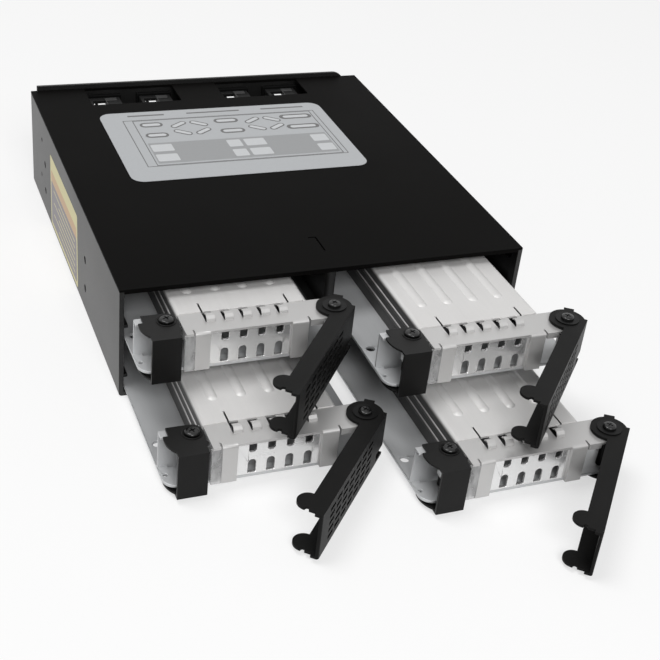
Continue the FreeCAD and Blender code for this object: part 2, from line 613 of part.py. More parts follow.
def carrier_cover():
    """Ribbed cover over the drive, open below and at both ends."""
    front = FRONT_DEPTH
    back = front + COVER_LENGTH
    outer = box(COVER_X, COVER_RIGHT, front, back, TRAY_SHEET, COVER_HEIGHT)
    outer = round_edges(outer, COVER_BEND, lengthwise(COVER_HEIGHT))
    inner = box(COVER_X + COVER_SHEET, COVER_RIGHT - COVER_SHEET, front - PAST, back + PAST,
                TRAY_SHEET - PAST, COVER_HEIGHT - COVER_SHEET)
    inner = round_edges(inner, COVER_BEND - COVER_SHEET, lengthwise(COVER_HEIGHT - COVER_SHEET))
    shell = outer.cut(inner)
    beads = []
    for index in range(RIB_COUNT):
        x = COVER_X + RIB_INSET + index * RIB_PITCH
        beads.append(rib(x, front + RIB_START, back - RIB_END_GAP, COVER_HEIGHT, RIB_WIDTH, RIB_RISE))
    for height in SIDE_RIB_HEIGHTS:
        bead = rib(0, front + RIB_END_GAP, back - RIB_END_GAP, 0, SIDE_RIB_WIDTH, SIDE_RIB_RISE)
        bead.rotate(Vector(0, 0, 0), Vector(0, 1, 0), -90)
        bead.translate(Vector(COVER_X, 0, height))
        beads.append(bead)
    slits = []
    for place in SLIT_PLACES:
        x = COVER_X + place
        slits.append(box(x, x + SLIT_WIDTH, front - PAST, front + SLIT_LENGTH,
                         COVER_HEIGHT - 2 * COVER_SHEET, COVER_HEIGHT + RIB_RISE))
    return one_solid(shell.fuse(beads).cut(slits))


def earthing_finger(x):
    """Sprung finger: a strip of the top sheet that bows up in an arch, free at the back."""
    y = FINGER_TOE + FINGER_RADIUS
    points = []
    for radius, angles in ((FINGER_RADIUS, FINGER_ANGLES),
                           (FINGER_RADIUS - FINGER_SHEET, FINGER_ANGLES[::-1])):
        for angle in angles:
            turn = math.radians(angle)
            points.append(Vector(x - FINGER_WIDTH / 2, y + radius * math.cos(turn),
                                 FRONT_HEIGHT - PIN_GAP + radius * math.sin(turn)))
    outline = Part.Face(Part.makePolygon(points + points[:1]))
    return outline.extrude(Vector(FINGER_WIDTH, 0, 0))


def carrier_front():
    """Front bracket: a top sheet with earthing fingers, two posts bent down from it and a right leg."""
    under = FRONT_HEIGHT - FRONT_SHEET
    left = COVER_X + BULKHEAD_SHEET / 2
    sheet = box(left, TRAY_WIDTH, 0, FRONT_DEPTH, under, FRONT_HEIGHT)
    sweep = rod(PIVOT_X, PIVOT_Y, under - PAST, FRONT_HEIGHT + PAST, PIVOT_Y)
    corner = box(PIVOT_X, TRAY_WIDTH + PAST, -PAST, PIVOT_Y, under - PAST, FRONT_HEIGHT + PAST)
    bore = rod(PIVOT_X, PIVOT_Y, under - PAST, FRONT_HEIGHT + PAST, PIN_RADIUS + PIN_GAP)
    trims = [corner.cut(sweep), bore]
    for x0, x1, depth in ((VENT_LEFT, VENT_RIGHT, EDGE_SETBACK), (LEFT_POST, VENT_LEFT, POST_BEND),
                          (VENT_RIGHT, RIGHT_POST_END, POST_BEND),
                          (LEFT_POST - EDGE_SLIT, LEFT_POST, POST_DEPTH),
                          (RIGHT_POST_END, RIGHT_POST_END + EDGE_SLIT, POST_DEPTH)):
        trims.append(box(x0, x1, -PAST, depth, under - PAST, FRONT_HEIGHT + PAST))
    fingers = []
    for index in range(FINGER_COUNT):
        x = VENT_LEFT + FINGER_INSET + index * VENT_PITCH
        reach = FINGER_WIDTH / 2 + FINGER_GAP
        trims.append(box(x - reach, x + reach, FINGER_TOE + FINGER_SHEET, FRONT_DEPTH + PAST,
                         under - PAST, FRONT_HEIGHT + PAST))
        fingers.append(earthing_finger(x))
    sheet = sheet.cut(trims)
    pieces = []
    for x0, x1 in ((LEFT_POST, VENT_LEFT), (VENT_RIGHT, RIGHT_POST_END)):
        post = box(x0, x1, 0, POST_DEPTH, TRAY_SHEET, FRONT_HEIGHT)
        pieces.append(round_edges(post, POST_BEND, crosswise(0, FRONT_HEIGHT)))
        pieces.append(box(x0, x1, 0, TRAY_SETBACK - PIN_GAP, TRAY_SHEET - POST_LIP, TRAY_SHEET))
    pieces.append(box(RIGHT_POST_END + EDGE_SLIT, PIVOT_X - LEVER_DISK + FRONT_SHEET, 0, FRONT_SHEET,
                      FRONT_HEIGHT - LIP_HEIGHT, under))
    pieces.append(box(TRAY_WIDTH - FRONT_SHEET, TRAY_WIDTH, PIVOT_Y - POST_DEPTH, FRONT_DEPTH,
                      TRAY_SHEET, under))
    return one_solid(sheet.fuse(pieces + fingers))


def vent_panel():
    """Panel between the posts with arched air slots, and a notch above each that leaves short fingers."""
    y0 = VENT_RECESS
    y1 = VENT_RECESS + VENT_SHEET
    top = FRONT_HEIGHT - FRONT_SHEET - VENT_TOP_GAP
    panel = box(VENT_LEFT, VENT_RIGHT, y0, y1, TRAY_SHEET, top)
    cuts = []
    foot = TRAY_SHEET + VENT_SLOT_FOOT
    half = VENT_SLOT_WIDTH / 2
    crown = foot + VENT_SLOT_HEIGHT - half
    for index in range(VENT_SLOT_COUNT):
        x = VENT_LEFT + VENT_SLOT_INSET + index * VENT_PITCH
        cuts.append(box(x - half, x + half, y0 - PAST, y1 + PAST, foot, crown))
        cuts.append(rod_y(x, y0 - PAST, y1 + PAST, crown, half))
        notch = box(x - NOTCH_WIDTH / 2, x + NOTCH_WIDTH / 2, y0 - PAST, y1 + PAST, top - NOTCH_DEPTH,
                    top + PAST)
        low = [edge for edge in notch.Edges if lengthwise(top - NOTCH_DEPTH)(edge.BoundBox)]
        cuts.append(notch.makeChamfer(NOTCH_CORNER, low))
    return one_solid(panel.cut(cuts))


def light_pipe():
    """Clear strip beside the left post that shows the drive's lamps, with a leg to the cover."""
    top = FRONT_HEIGHT - FRONT_SHEET
    strip = box(COVER_X, LEFT_POST, 0, TRAY_SETBACK - PIN_GAP, TRAY_SHEET - POST_LIP, top)
    leg = box(COVER_X + COVER_SHEET, LEFT_POST, 0, FRONT_DEPTH, top - PIPE_LEG_HEIGHT, top)
    return one_solid(strip.fuse(leg))


def lever():
    """Channel-shaped handle, closed, in the carrier's frame: two flanges on a perforated web."""
    tip = PIVOT_X - LEVER_LENGTH
    face = PIVOT_Y - LEVER_FACE
    inner = PIVOT_Y - LEVER_INNER_EDGE
    over = LEVER_FLANGE + PAST
    flange = box(tip, PIVOT_X, face, inner, 0, LEVER_FLANGE)
    recess = box(tip - PAST, tip + TIP_RECESS, face + TIP_RECESS_START, inner + PAST, -PAST, over)
    disk = rod(PIVOT_X, PIVOT_Y, 0, LEVER_FLANGE, LEVER_DISK)
    lobe = rod(tip + LOBE_CENTRE, PIVOT_Y, 0, LEVER_FLANGE, LOBE_RADIUS)
    nose = box(PIVOT_X, PIVOT_X + NOSE_REACH, PIVOT_Y - NOSE_WIDTH / 2, PIVOT_Y + NOSE_WIDTH / 2, 0,
               LEVER_FLANGE)
    nose.rotate(Vector(PIVOT_X, PIVOT_Y, 0), Vector(0, 0, 1), NOSE_ANGLE)
    cuts = [
        rod(PIVOT_X, PIVOT_Y, -PAST, over, PIN_RADIUS + PIN_GAP),
        rod(tip + HOOK_X, PIVOT_Y - HOOK_BACK, -PAST, over, HOOK_RADIUS),
        box(tip - PAST, PIVOT_X + 2 * LEVER_DISK, face - 2 * LEVER_DISK, face, -PAST, over),
    ]
    outline = one_solid(flange.cut(recess).fuse([disk, lobe, nose]).cut(cuts))
    lower = outline.copy()
    lower.translate(Vector(0, 0, LEVER_FOOT))
    upper = outline.copy()
    upper.translate(Vector(0, 0, LEVER_TOP - LEVER_FLANGE))
    heel = PIVOT_X + LEVER_HEEL
    web = box(tip, heel, face, face + LEVER_WEB, LEVER_FOOT, LEVER_TOP)
    gaps = [box(PIVOT_X - LEVER_HEEL, heel + PAST, face - PAST, face + LEVER_WEB + PAST,
                LEVER_FOOT + LEVER_FLANGE, HEEL_CUT)]
    middle = (LEVER_FOOT + LEVER_TOP) / 2
    for row in range(PERFORATION_ROWS):
        z = middle + (row - (PERFORATION_ROWS - 1) / 2) * PERFORATION_ROW_PITCH
        for column in range(PERFORATION_COLUMNS):
            x = PIVOT_X - PERFORATION_START - column * PERFORATION_PITCH
            gaps.append(box(x - PERFORATION_LENGTH, x, face - PAST, face + LEVER_WEB + PAST,
                            z - PERFORATION_HEIGHT / 2, z + PERFORATION_HEIGHT / 2))
    web = web.cut(Part.makeCompound(gaps))
    handle = one_solid(web.fuse([lower, upper]))
    return round_edges(handle, TIP_CORNER, upright(tip, face))


def lever_pin():
    """Rivet through both flanges, the tray and the front's top sheet, with a collar under each head."""
    upper = LEVER_TOP + PIN_END_GAP
    lower = LEVER_FOOT - PIN_END_GAP
    shank = rod(PIVOT_X, PIVOT_Y, lower - PIN_HEAD, upper + PIN_HEAD, PIN_RADIUS)
    pieces = [
        rod(PIVOT_X, PIVOT_Y, upper, upper + PIN_COLLAR, PIN_COLLAR_RADIUS),
        rod(PIVOT_X, PIVOT_Y, upper, upper + PIN_COLLAR + PIN_HEAD, PIN_HEAD_RADIUS),
        rod(PIVOT_X, PIVOT_Y, lower - PIN_HEAD, lower, PIN_HEAD_RADIUS),
    ]
    return one_solid(shank.fuse(pieces))


def latch_outline():
    """Face of the latch's top flange: a bowed left edge, a nib at the right and a round rear corner."""
    front_left = Vector(LATCH_X, -LATCH_FRONT, 0)
    front_right = Vector(LATCH_RIGHT - LATCH_STEP, -LATCH_FRONT, 0)
    nib_front = Vector(LATCH_RIGHT - LATCH_STEP + RUN_GAP, LATCH_NIB_Y - 1.4 * LATCH_NIB_DEPTH, 0)
    nib = Vector(LATCH_NIB_X, LATCH_NIB_Y, 0)
    nib_back = Vector(LATCH_RIGHT - RUN_GAP, LATCH_NIB_Y + LATCH_NIB_DEPTH, 0)
    right = Vector(LATCH_RIGHT, LATCH_STEP_Y, 0)
    corner_start = Vector(LATCH_RIGHT, LATCH_BACK - LATCH_CORNER, 0)
    corner_middle = Vector(LATCH_RIGHT - 0.3 * LATCH_CORNER, LATCH_BACK - 0.35 * LATCH_CORNER, 0)
    corner_end = Vector(LATCH_RIGHT - LATCH_CORNER, LATCH_BACK, 0)
    back_left = Vector(LATCH_NOTCH_X, LATCH_BACK, 0)
    notch = Vector(LATCH_NOTCH_X, LATCH_NOTCH_Y, 0)
    bow_start = Vector(LATCH_LEFT + RUN_GAP, LATCH_NOTCH_Y, 0)
    bow_end = Vector(LATCH_X, 0, 0)
    bow_middle = Vector(LATCH_LEFT + RUN_GAP, LATCH_NOTCH_Y / 2, 0)
    edges = Part.makePolygon([front_left, front_right, nib_front, nib, nib_back, right, corner_start]).Edges
    edges.append(Part.Arc(corner_start, corner_middle, corner_end).toShape())
    edges += Part.makePolygon([corner_end, back_left, notch, bow_start]).Edges
    edges.append(Part.Arc(bow_start, bow_middle, bow_end).toShape())
    edges.append(Part.makeLine(bow_end, front_left))
    return Part.Face(Part.Wire(edges))


def latch():
    """Thumb latch: a channel of two flanges on a front web, turning on a boss round its screw."""
    upper = latch_outline().extrude(Vector(0, 0, LATCH_FLANGE))
    lower = upper.cut(box(0, LATCH_RIGHT + PAST, LATCH_PIVOT_Y + LATCH_BOSS_RADIUS, LATCH_BACK + PAST,
                          -PAST, LATCH_FLANGE + PAST))
    upper.translate(Vector(0, 0, LATCH_TOP - LATCH_FLANGE))
    lower.translate(Vector(0, 0, -LATCH_SKIRT))
    web = box(LATCH_X, LATCH_RIGHT - LATCH_STEP, -LATCH_FRONT, -LATCH_FRONT + LATCH_WEB, -LATCH_SKIRT,
              LATCH_TOP)
    boss = rod(LATCH_PIVOT_X, LATCH_PIVOT_Y, TRAY_SHEET + RUN_GAP, LATCH_TOP, LATCH_BOSS_RADIUS)
    bore = rod(LATCH_PIVOT_X, LATCH_PIVOT_Y, -LATCH_SKIRT - PAST, LATCH_TOP + PAST,
               LATCH_PIN_RADIUS + PIN_GAP)
    rivet_room = rod(LATCH_PIVOT_X, LATCH_PIVOT_Y, -LATCH_SKIRT - PAST, 0,
                     LATCH_PIN_RADIUS + PIN_HEAD + RUN_GAP)
    return one_solid(upper.fuse([lower, web, boss]).cut([bore, rivet_room]))


def latch_pin():
    """Shoulder screw that the latch turns on, riveted under the tray."""
    head_foot = LATCH_TOP + PIN_END_GAP
    shank = rod(LATCH_PIVOT_X, LATCH_PIVOT_Y, -PIN_HEAD, head_foot + LATCH_HEAD, LATCH_PIN_RADIUS)
    head = rod(LATCH_PIVOT_X, LATCH_PIVOT_Y, head_foot, head_foot + LATCH_HEAD, LATCH_HEAD_RADIUS)
    rivet = rod(LATCH_PIVOT_X, LATCH_PIVOT_Y, -PIN_HEAD, 0, LATCH_PIN_RADIUS + PIN_HEAD)
    return one_solid(shank.fuse([head, rivet]))


def latch_spring():
    """Torsion spring wound on the latch's boss: one leg on the web, the other towards the upright."""
    outside = LATCH_BOSS_RADIUS + PIN_GAP + SPRING_WIRE
    head = SPRING_FOOT + SPRING_LENGTH
    coil = rod(LATCH_PIVOT_X, LATCH_PIVOT_Y, SPRING_FOOT, head, outside)
    bore = rod(LATCH_PIVOT_X, LATCH_PIVOT_Y, SPRING_FOOT - PAST, head + PAST, outside - SPRING_WIRE)
    left = LATCH_PIVOT_X - outside
    right = LATCH_PIVOT_X + outside
    rear = FRONT_DEPTH - BULKHEAD_SHEET / 2 - SPRING_END_GAP
    front_leg = box(left, left + SPRING_WIRE, -LATCH_FRONT + LATCH_WEB, LATCH_PIVOT_Y,
                    SPRING_FOOT, SPRING_FOOT + SPRING_WIRE)
    rear_leg = box(right - SPRING_WIRE, right, LATCH_PIVOT_Y, rear, head - SPRING_WIRE, head)
    return one_solid(coil.fuse([front_leg, rear_leg]).cut(bore))


# ---- Assembly
def place_carrier(shape, column, level, pulled):
    """Move a piece from the carrier's frame to its bay, pulled out from closed."""
    shape.translate(Vector(TRAY_LEFT + column * BAY_PITCH, FRONT - FRONT_STANDOFF - pulled,
                           FIRST_TRAY + level * LEVEL_PITCH))
    return shape


def carrier_pieces(number):
    """All pieces of one carrier at its rest place, by node name."""
    column, level, pulled, angle = CARRIERS[number]
    handle = lever()
    handle.rotate(Vector(PIVOT_X, PIVOT_Y, 0), Vector(0, 0, 1), angle)
    pieces = {
        "tray": tray(),
        "cover": carrier_cover(),
        "front": carrier_front(),
        "vent_panel": vent_panel(),
        "light_pipe": light_pipe(),
        "lever": handle,
        "lever_pin": lever_pin(),
        "latch": latch(),
        "latch_pin": latch_pin(),
        "latch_spring": latch_spring(),
    }
    return {
        f"carrier_{number}_{name}": place_carrier(shape, column, level, pulled)
        for name, shape in pieces.items()
    }


def cage_pieces():
    """All pieces of the cage, by node name."""
    pieces = {
        "cage_base": cage_base(),
        "top_cover": top_cover(),
        "centre_divider": centre_divider(),
        "rear_plate": rear_plate(),
        "backplane_board": backplane_board(),
        "power_socket": power_socket(),
        "cable_sockets": Part.makeCompound([cable_socket(x) for x in CABLE_SOCKETS]),
        "socket_clips": Part.makeCompound([socket_clip(x) for x in CABLE_SOCKETS]),
        "board_spacers": Part.makeCompound([board_spacer(x, z) for x, z in spacer_places()]),
        "board_screws": Part.makeCompound([screw(x, z, BOARD_FRONT, 1) for x, z in spacer_places()]),
        "rear_screws": Part.makeCompound([screw(x, z, BACK + REAR_SHEET, -1)
                                          for x, z in ear_screws() + spacer_places()]),
    }
    for number, (column, level, _pulled, _angle) in CARRIERS.items():
        pieces[f"drive_socket_{number}"] = drive_socket(column, level)
        pieces[f"guide_rails_{number}"] = Part.makeCompound(
            [guide_rail(column, level, side) for side in (-1, 1)])
    return pieces


os.makedirs("parts", exist_ok=True)
nodes = cage_pieces()
for carrier in CARRIERS:
    nodes.update(carrier_pieces(carrier))
for node, solid in nodes.items():
    solid.exportStep(f"parts/{node}.step")
    print(node, "valid" if solid.isValid() else "NOT VALID", len(solid.Solids), round(solid.Volume, 1))
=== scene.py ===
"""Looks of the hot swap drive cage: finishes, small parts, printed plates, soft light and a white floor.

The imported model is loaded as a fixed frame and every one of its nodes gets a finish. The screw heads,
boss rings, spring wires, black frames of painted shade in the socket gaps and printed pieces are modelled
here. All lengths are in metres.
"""
from __future__ import annotations

import logging
import math
from dataclasses import dataclass
from enum import Enum
from functools import cache, cached_property, partial
from typing import Any, Callable, Iterable, Sequence

import bmesh
import bpy
from mathutils import Matrix, Vector

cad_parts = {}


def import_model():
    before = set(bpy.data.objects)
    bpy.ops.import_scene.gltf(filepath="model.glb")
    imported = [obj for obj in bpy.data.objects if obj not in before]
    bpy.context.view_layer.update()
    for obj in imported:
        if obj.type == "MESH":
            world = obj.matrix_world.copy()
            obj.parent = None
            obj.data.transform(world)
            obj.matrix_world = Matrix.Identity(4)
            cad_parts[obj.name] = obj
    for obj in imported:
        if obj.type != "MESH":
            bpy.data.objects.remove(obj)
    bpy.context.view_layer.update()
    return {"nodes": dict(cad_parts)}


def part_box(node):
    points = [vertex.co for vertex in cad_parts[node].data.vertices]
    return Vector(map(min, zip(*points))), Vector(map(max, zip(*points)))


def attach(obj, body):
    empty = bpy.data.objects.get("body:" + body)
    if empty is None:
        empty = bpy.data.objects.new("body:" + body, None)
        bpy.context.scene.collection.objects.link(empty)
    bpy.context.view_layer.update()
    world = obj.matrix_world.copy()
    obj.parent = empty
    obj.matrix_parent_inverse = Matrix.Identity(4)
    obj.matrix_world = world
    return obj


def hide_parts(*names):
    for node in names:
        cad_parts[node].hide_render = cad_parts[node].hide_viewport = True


LOG = logging.getLogger("drive_cage")
MM = 0.001
WHITE = (1.0, 1.0, 1.0, 1.0)
CARRIER_NUMBERS = (1, 2, 3, 4)
PIN_SLOT = "pin_steel"
LATCH_SLOT = "latch_plastic"
WELD_DISTANCE = 0.001 * MM
EDGE_ANGLE = 40.0  # degrees; blunter edges are left as they are
EDGE_STEPS = 2

# Rings of a screw head's dome: share of its radius and of its rise.
HEAD_DOME = ((0.3, 1.0), (0.62, 0.94), (0.82, 0.78), (0.94, 0.5), (1.0, 0.16), (1.0, 0.0))

Triple = tuple[float, float, float]
Colour = Triple
Point = tuple[float, float]
Lift = Callable[[float, float, float], Vector]


def grey(level: float, warmth: float = 0.0) -> Colour:
    """Return a linear colour from a display grey of 0 to 1, warmer where warmth is above 0."""
    linear = level ** 2.2
    return (linear * (1 + warmth), linear, linear * (1 - warmth))


# ---------------------------------------------------------------------------------------- shader maths
class Signal:
    """A shader value that adds Math nodes when it is used in arithmetic."""

    def __init__(self, graph: "Graph", socket: bpy.types.NodeSocket) -> None:
        """Wrap an output socket.

        Args:
            graph: The material graph that the socket belongs to.
            socket: The output to wrap.
        """
        self.graph = graph
        self.socket = socket

    def combine(self, operation: str, other: "Signal | float", swapped: bool = False) -> "Signal":
        """Add one Math node.

        Args:
            operation: The Math node's operation.
            other: The second value.
            swapped: True where the other value comes first.

        Returns:
            The node's result.
        """
        pair = (other, self) if swapped else (self, other)
        return self.graph.node("ShaderNodeMath", {"operation": operation}, {0: pair[0], 1: pair[1]})

    def __add__(self, other: "Signal | float") -> "Signal":
        """Return self + other."""
        return self.combine("ADD", other)

    def __radd__(self, other: "Signal | float") -> "Signal":
        """Return other + self."""
        return self.combine("ADD", other, swapped=True)

    def __sub__(self, other: "Signal | float") -> "Signal":
        """Return self - other."""
        return self.combine("SUBTRACT", other)

    def __rsub__(self, other: "Signal | float") -> "Signal":
        """Return other - self."""
        return self.combine("SUBTRACT", other, swapped=True)

    def __mul__(self, other: "Signal | float") -> "Signal":
        """Return self * other."""
        return self.combine("MULTIPLY", other)

    def __rmul__(self, other: "Signal | float") -> "Signal":
        """Return other * self."""
        return self.combine("MULTIPLY", other, swapped=True)

    def above(self, limit: float) -> "Signal":
        """Return 1 where the value is above the limit, and 0 elsewhere."""
        return self.combine("GREATER_THAN", limit)


class Graph:
    """The node tree of one material or of the world."""

    def __init__(self, holder: bpy.types.Material | bpy.types.World) -> None:
        """Start an empty tree.

        Args:
            holder: The material or world that the nodes belong to.
        """
        holder.use_nodes = True
        self.holder = holder
        self.tree = holder.node_tree
        self.tree.nodes.clear()

    def node(self, kind: str, settings: dict[str, Any] | None = None,
             inputs: dict[Any, Any] | None = None, output: int | str = 0) -> Signal:
        """Add a node of any kind.

        Args:
            kind: The node's type.
            settings: Its own settings, set before its sockets; "stops" fills a colour ramp.
            inputs: Values or signals by socket name or index.
            output: Which output the returned signal wraps.

        Returns:
            The chosen output.
        """
        made = self.tree.nodes.new(kind)
        for key, value in (settings or {}).items():
            if key == "stops":
                self.fill_ramp(made.color_ramp, value)
            else:
                setattr(made, key, value)
        for key, value in (inputs or {}).items():
            if isinstance(value, Signal):
                self.tree.links.new(value.socket, made.inputs[key])
            else:
                made.inputs[key].default_value = value
        return Signal(self, made.outputs[output]) if made.outputs else Signal(self, made.inputs[0])

    @staticmethod
    def fill_ramp(ramp: bpy.types.ColorRamp, stops: Iterable[tuple[float, float]]) -> None:
        """Set a ramp's stops.

        Args:
            ramp: The colour ramp.
            stops: Pairs of place and grey level.
        """
        for index, (place, level) in enumerate(stops):
            stop = ramp.elements[index] if index < 2 else ramp.elements.new(place)
            stop.position = place
            stop.color = (level, level, level, 1.0)

    def place(self, stretch: Triple = (1.0, 1.0, 1.0)) -> Signal:
        """Return the surface's own coordinates in metres, stretched by a factor on each axis."""
        here = self.node("ShaderNodeTexCoord", output="Object")
        return self.node("ShaderNodeVectorMath", {"operation": "MULTIPLY"}, {0: here, 1: stretch})

    def noise(self, scale: float, detail: float = 3.0, stretch: Triple = (1.0, 1.0, 1.0)) -> Signal:
        """Add a noise texture.

        Args:
            scale: Cells to the metre.
            detail: Octaves.
            stretch: Stretch of the coordinates on each axis.

        Returns:
            A value of about 0 to 1.
        """
        return self.node("ShaderNodeTexNoise", None,
                         {"Vector": self.place(stretch), "Scale": scale, "Detail": detail}, "Fac")

    def blend(self, mask: Signal | float, first: Any, second: Any) -> Signal:
        """Return a colour between two, by a mask."""
        return self.node("ShaderNodeMix", {"data_type": "RGBA"}, {0: mask, 6: first, 7: second}, 2)

    def bump(self, height: Signal, distance: float, strength: float = 1.0) -> Signal:
        """Raise the surface by a height.

        Args:
            height: The height of 0 to 1.
            distance: What a height of 1 is, in metres.
            strength: How much of it shows.

        Returns:
            The raised normal.
        """
        return self.node("ShaderNodeBump", None,
                         {"Height": height, "Distance": distance, "Strength": strength})

    def painted_shade_side_walls(self) -> Signal:
        """Mask the upright walls that face left or right, which get painted shade.

        Returns:
            1 on those walls, and 0 on the rest.
        """
        facing = self.node("ShaderNodeTexCoord", output="Normal")
        sideways = self.node("ShaderNodeSeparateXYZ", None, {"Vector": facing}, "X")
        steep = self.node("ShaderNodeMath", {"operation": "ABSOLUTE"}, {0: sideways})
        return self.node("ShaderNodeMapRange", {"clamp": True},
                         {"Value": steep, "From Min": 0.7, "From Max": 0.98})

    def seen_directly(self) -> Signal:
        """Tell rays that see a surface from rays that gather its light.

        Returns:
            1 for rays from the eye, a mirror or glass, and 0 for the rest.
        """
        kinds = ("Is Camera Ray", "Is Glossy Ray", "Is Transmission Ray")
        camera, glossy, through = (self.node("ShaderNodeLightPath", output=kind) for kind in kinds)
        return camera.combine("MAXIMUM", glossy).combine("MAXIMUM", through)

    def finish(self, sockets: dict[str, Any]) -> bpy.types.Material:
        """Close the material with a Principled shader.

        Args:
            sockets: Values or signals by the shader's socket names.

        Returns:
            The material.
        """
        shader = self.node("ShaderNodeBsdfPrincipled", None, sockets)
        self.node("ShaderNodeOutputMaterial", None, {"Surface": shader})
        return self.holder


# -------------------------------------------------------------------------------------------- finishes
@dataclass(frozen=True)
class Finish:
    """A named surface. Subclasses say how it is made."""

    name: str
    colour: Colour
    roughness: float = 0.5

    def rgba(self, factor: float = 1.0) -> tuple[float, float, float, float]:
        """Return the colour, darker or lighter by a factor, with full alpha."""
        return (*(min(1.0, channel * factor) for channel in self.colour), 1.0)

    def make(self) -> bpy.types.Material:
        """Return the material."""
        raise NotImplementedError

    @cache
    def material(self) -> bpy.types.Material:
        """Return the material, made on first use."""
        return self.make()


@dataclass(frozen=True)
class PowderCoat(Finish):
    """Sprayed and baked paint: a faint orange peel, slightly uneven gloss."""

    peel: float = 0.00002
    specular: float = 0.3
    metallic: float = 0.0

    def make(self) -> bpy.types.Material:
        """Build the material.

        Returns:
            The material.
        """
        graph = Graph(bpy.data.materials.new(self.name))
        cloud = graph.noise(22.0)
        grain = graph.noise(2600.0, 2.0)
        tone = graph.blend(cloud, self.rgba(0.86), self.rgba(1.14))
        gloss = self.roughness + (cloud - 0.5) * 0.12 + (grain - 0.5) * 0.06
        return graph.finish({"Base Color": tone, "Roughness": gloss, "Metallic": self.metallic,
                             "Specular IOR Level": self.specular,
                             "Normal": graph.bump(grain, self.peel)})


@dataclass(frozen=True)
class PressedSteel(Finish):
    """Zinc-coated sheet: rolling streaks along Y, faint clouding and fine scuffs; walls facing left or right
    can get painted shade.
    """

    metallic: float = 0.55
    streaks: float = 0.12
    painted_side_shade: float = 1.0

    def make(self) -> bpy.types.Material:
        """Build the material.

        Returns:
            The material.
        """
        graph = Graph(bpy.data.materials.new(self.name))
        cloud = graph.noise(35.0, 4.0)
        roll = graph.noise(900.0, 3.0, (1.0, 0.03, 1.0))
        scuff = graph.noise(420.0, 6.0, (0.25, 1.0, 1.0)).above(0.66)
        mask = cloud * (1 - self.streaks * 3) + roll * (self.streaks * 3)
        tone = graph.blend(mask, self.rgba(0.9), self.rgba(1.08))
        # Painted shade: walls facing left or right are darkened to a share of the colour, as if they got
        # less light.
        if self.painted_side_shade < 1.0:
            tone = graph.blend(graph.painted_shade_side_walls(), tone, self.rgba(self.painted_side_shade))
        gloss = self.roughness + (roll - 0.5) * self.streaks + scuff * 0.08
        return graph.finish({"Base Color": tone, "Roughness": gloss, "Metallic": self.metallic,
                             "Normal": graph.bump(roll, 0.000006)})


@dataclass(frozen=True)
class MouldedPlastic(Finish):
    """Spark-eroded plastic: a fine even grain, rubbed a little where hands touch it."""

    grain: float = 0.00003
    specular: float = 0.4

    def make(self) -> bpy.types.Material:
        """Build the material.

        Returns:
            The material.
        """
        graph = Graph(bpy.data.materials.new(self.name))
        rub = graph.noise(60.0, 4.0)
        spark = graph.noise(3200.0, 2.0)
        tone = graph.blend(rub, self.rgba(0.88), self.rgba(1.12))
        gloss = self.roughness - (rub - 0.5) * 0.2 + (spark - 0.5) * 0.1
        return graph.finish({"Base Color": tone, "Roughness": gloss, "Specular IOR Level": self.specular,
                             "Normal": graph.bump(spark, self.grain)})


@dataclass(frozen=True)
class ClearPlastic(Finish):
    """Clear moulded plastic with flow lines that catch the light."""

    alpha: float = 0.45

    def make(self) -> bpy.types.Material:
        """Build the material.

        Returns:
            The material.
        """
        graph = Graph(bpy.data.materials.new(self.name))
        flow = graph.noise(420.0, 3.0, (1.0, 1.0, 0.45))
        veil = self.alpha + (flow - 0.5) * 0.7
        tone = graph.blend(flow, self.rgba(0.75), self.rgba(1.2))
        return graph.finish({"Base Color": tone, "Roughness": self.roughness, "Alpha": veil,
                             "Normal": graph.bump(flow, 0.0008)})


@dataclass(frozen=True)
class SolderMask(Finish):
    """Circuit board resin with fine copper runs under it."""

    def make(self) -> bpy.types.Material:
        """Build the material.

        Returns:
            The material.
        """
        graph = Graph(bpy.data.materials.new(self.name))
        runs = graph.noise(260.0, 2.0, (1.0, 1.0, 0.1)).above(0.54)
        tone = graph.blend(runs, self.rgba(0.8), self.rgba(1.6))
        return graph.finish({"Base Color": tone, "Roughness": self.roughness,
                             "Normal": graph.bump(runs, 0.00003)})


@dataclass(frozen=True)
class Printed(Finish):
    """Ink or film on a label: flat colour with the faint mottling of a print."""

    metallic: float = 0.0

    def make(self) -> bpy.types.Material:
        """Build the material.

        Returns:
            The material.
        """
        graph = Graph(bpy.data.materials.new(self.name))
        mottle = graph.noise(700.0, 2.0)
        tone = graph.blend(mottle, self.rgba(0.95), self.rgba(1.05))
        gloss = self.roughness + (mottle - 0.5) * 0.08
        return graph.finish({"Base Color": tone, "Roughness": gloss, "Metallic": self.metallic})


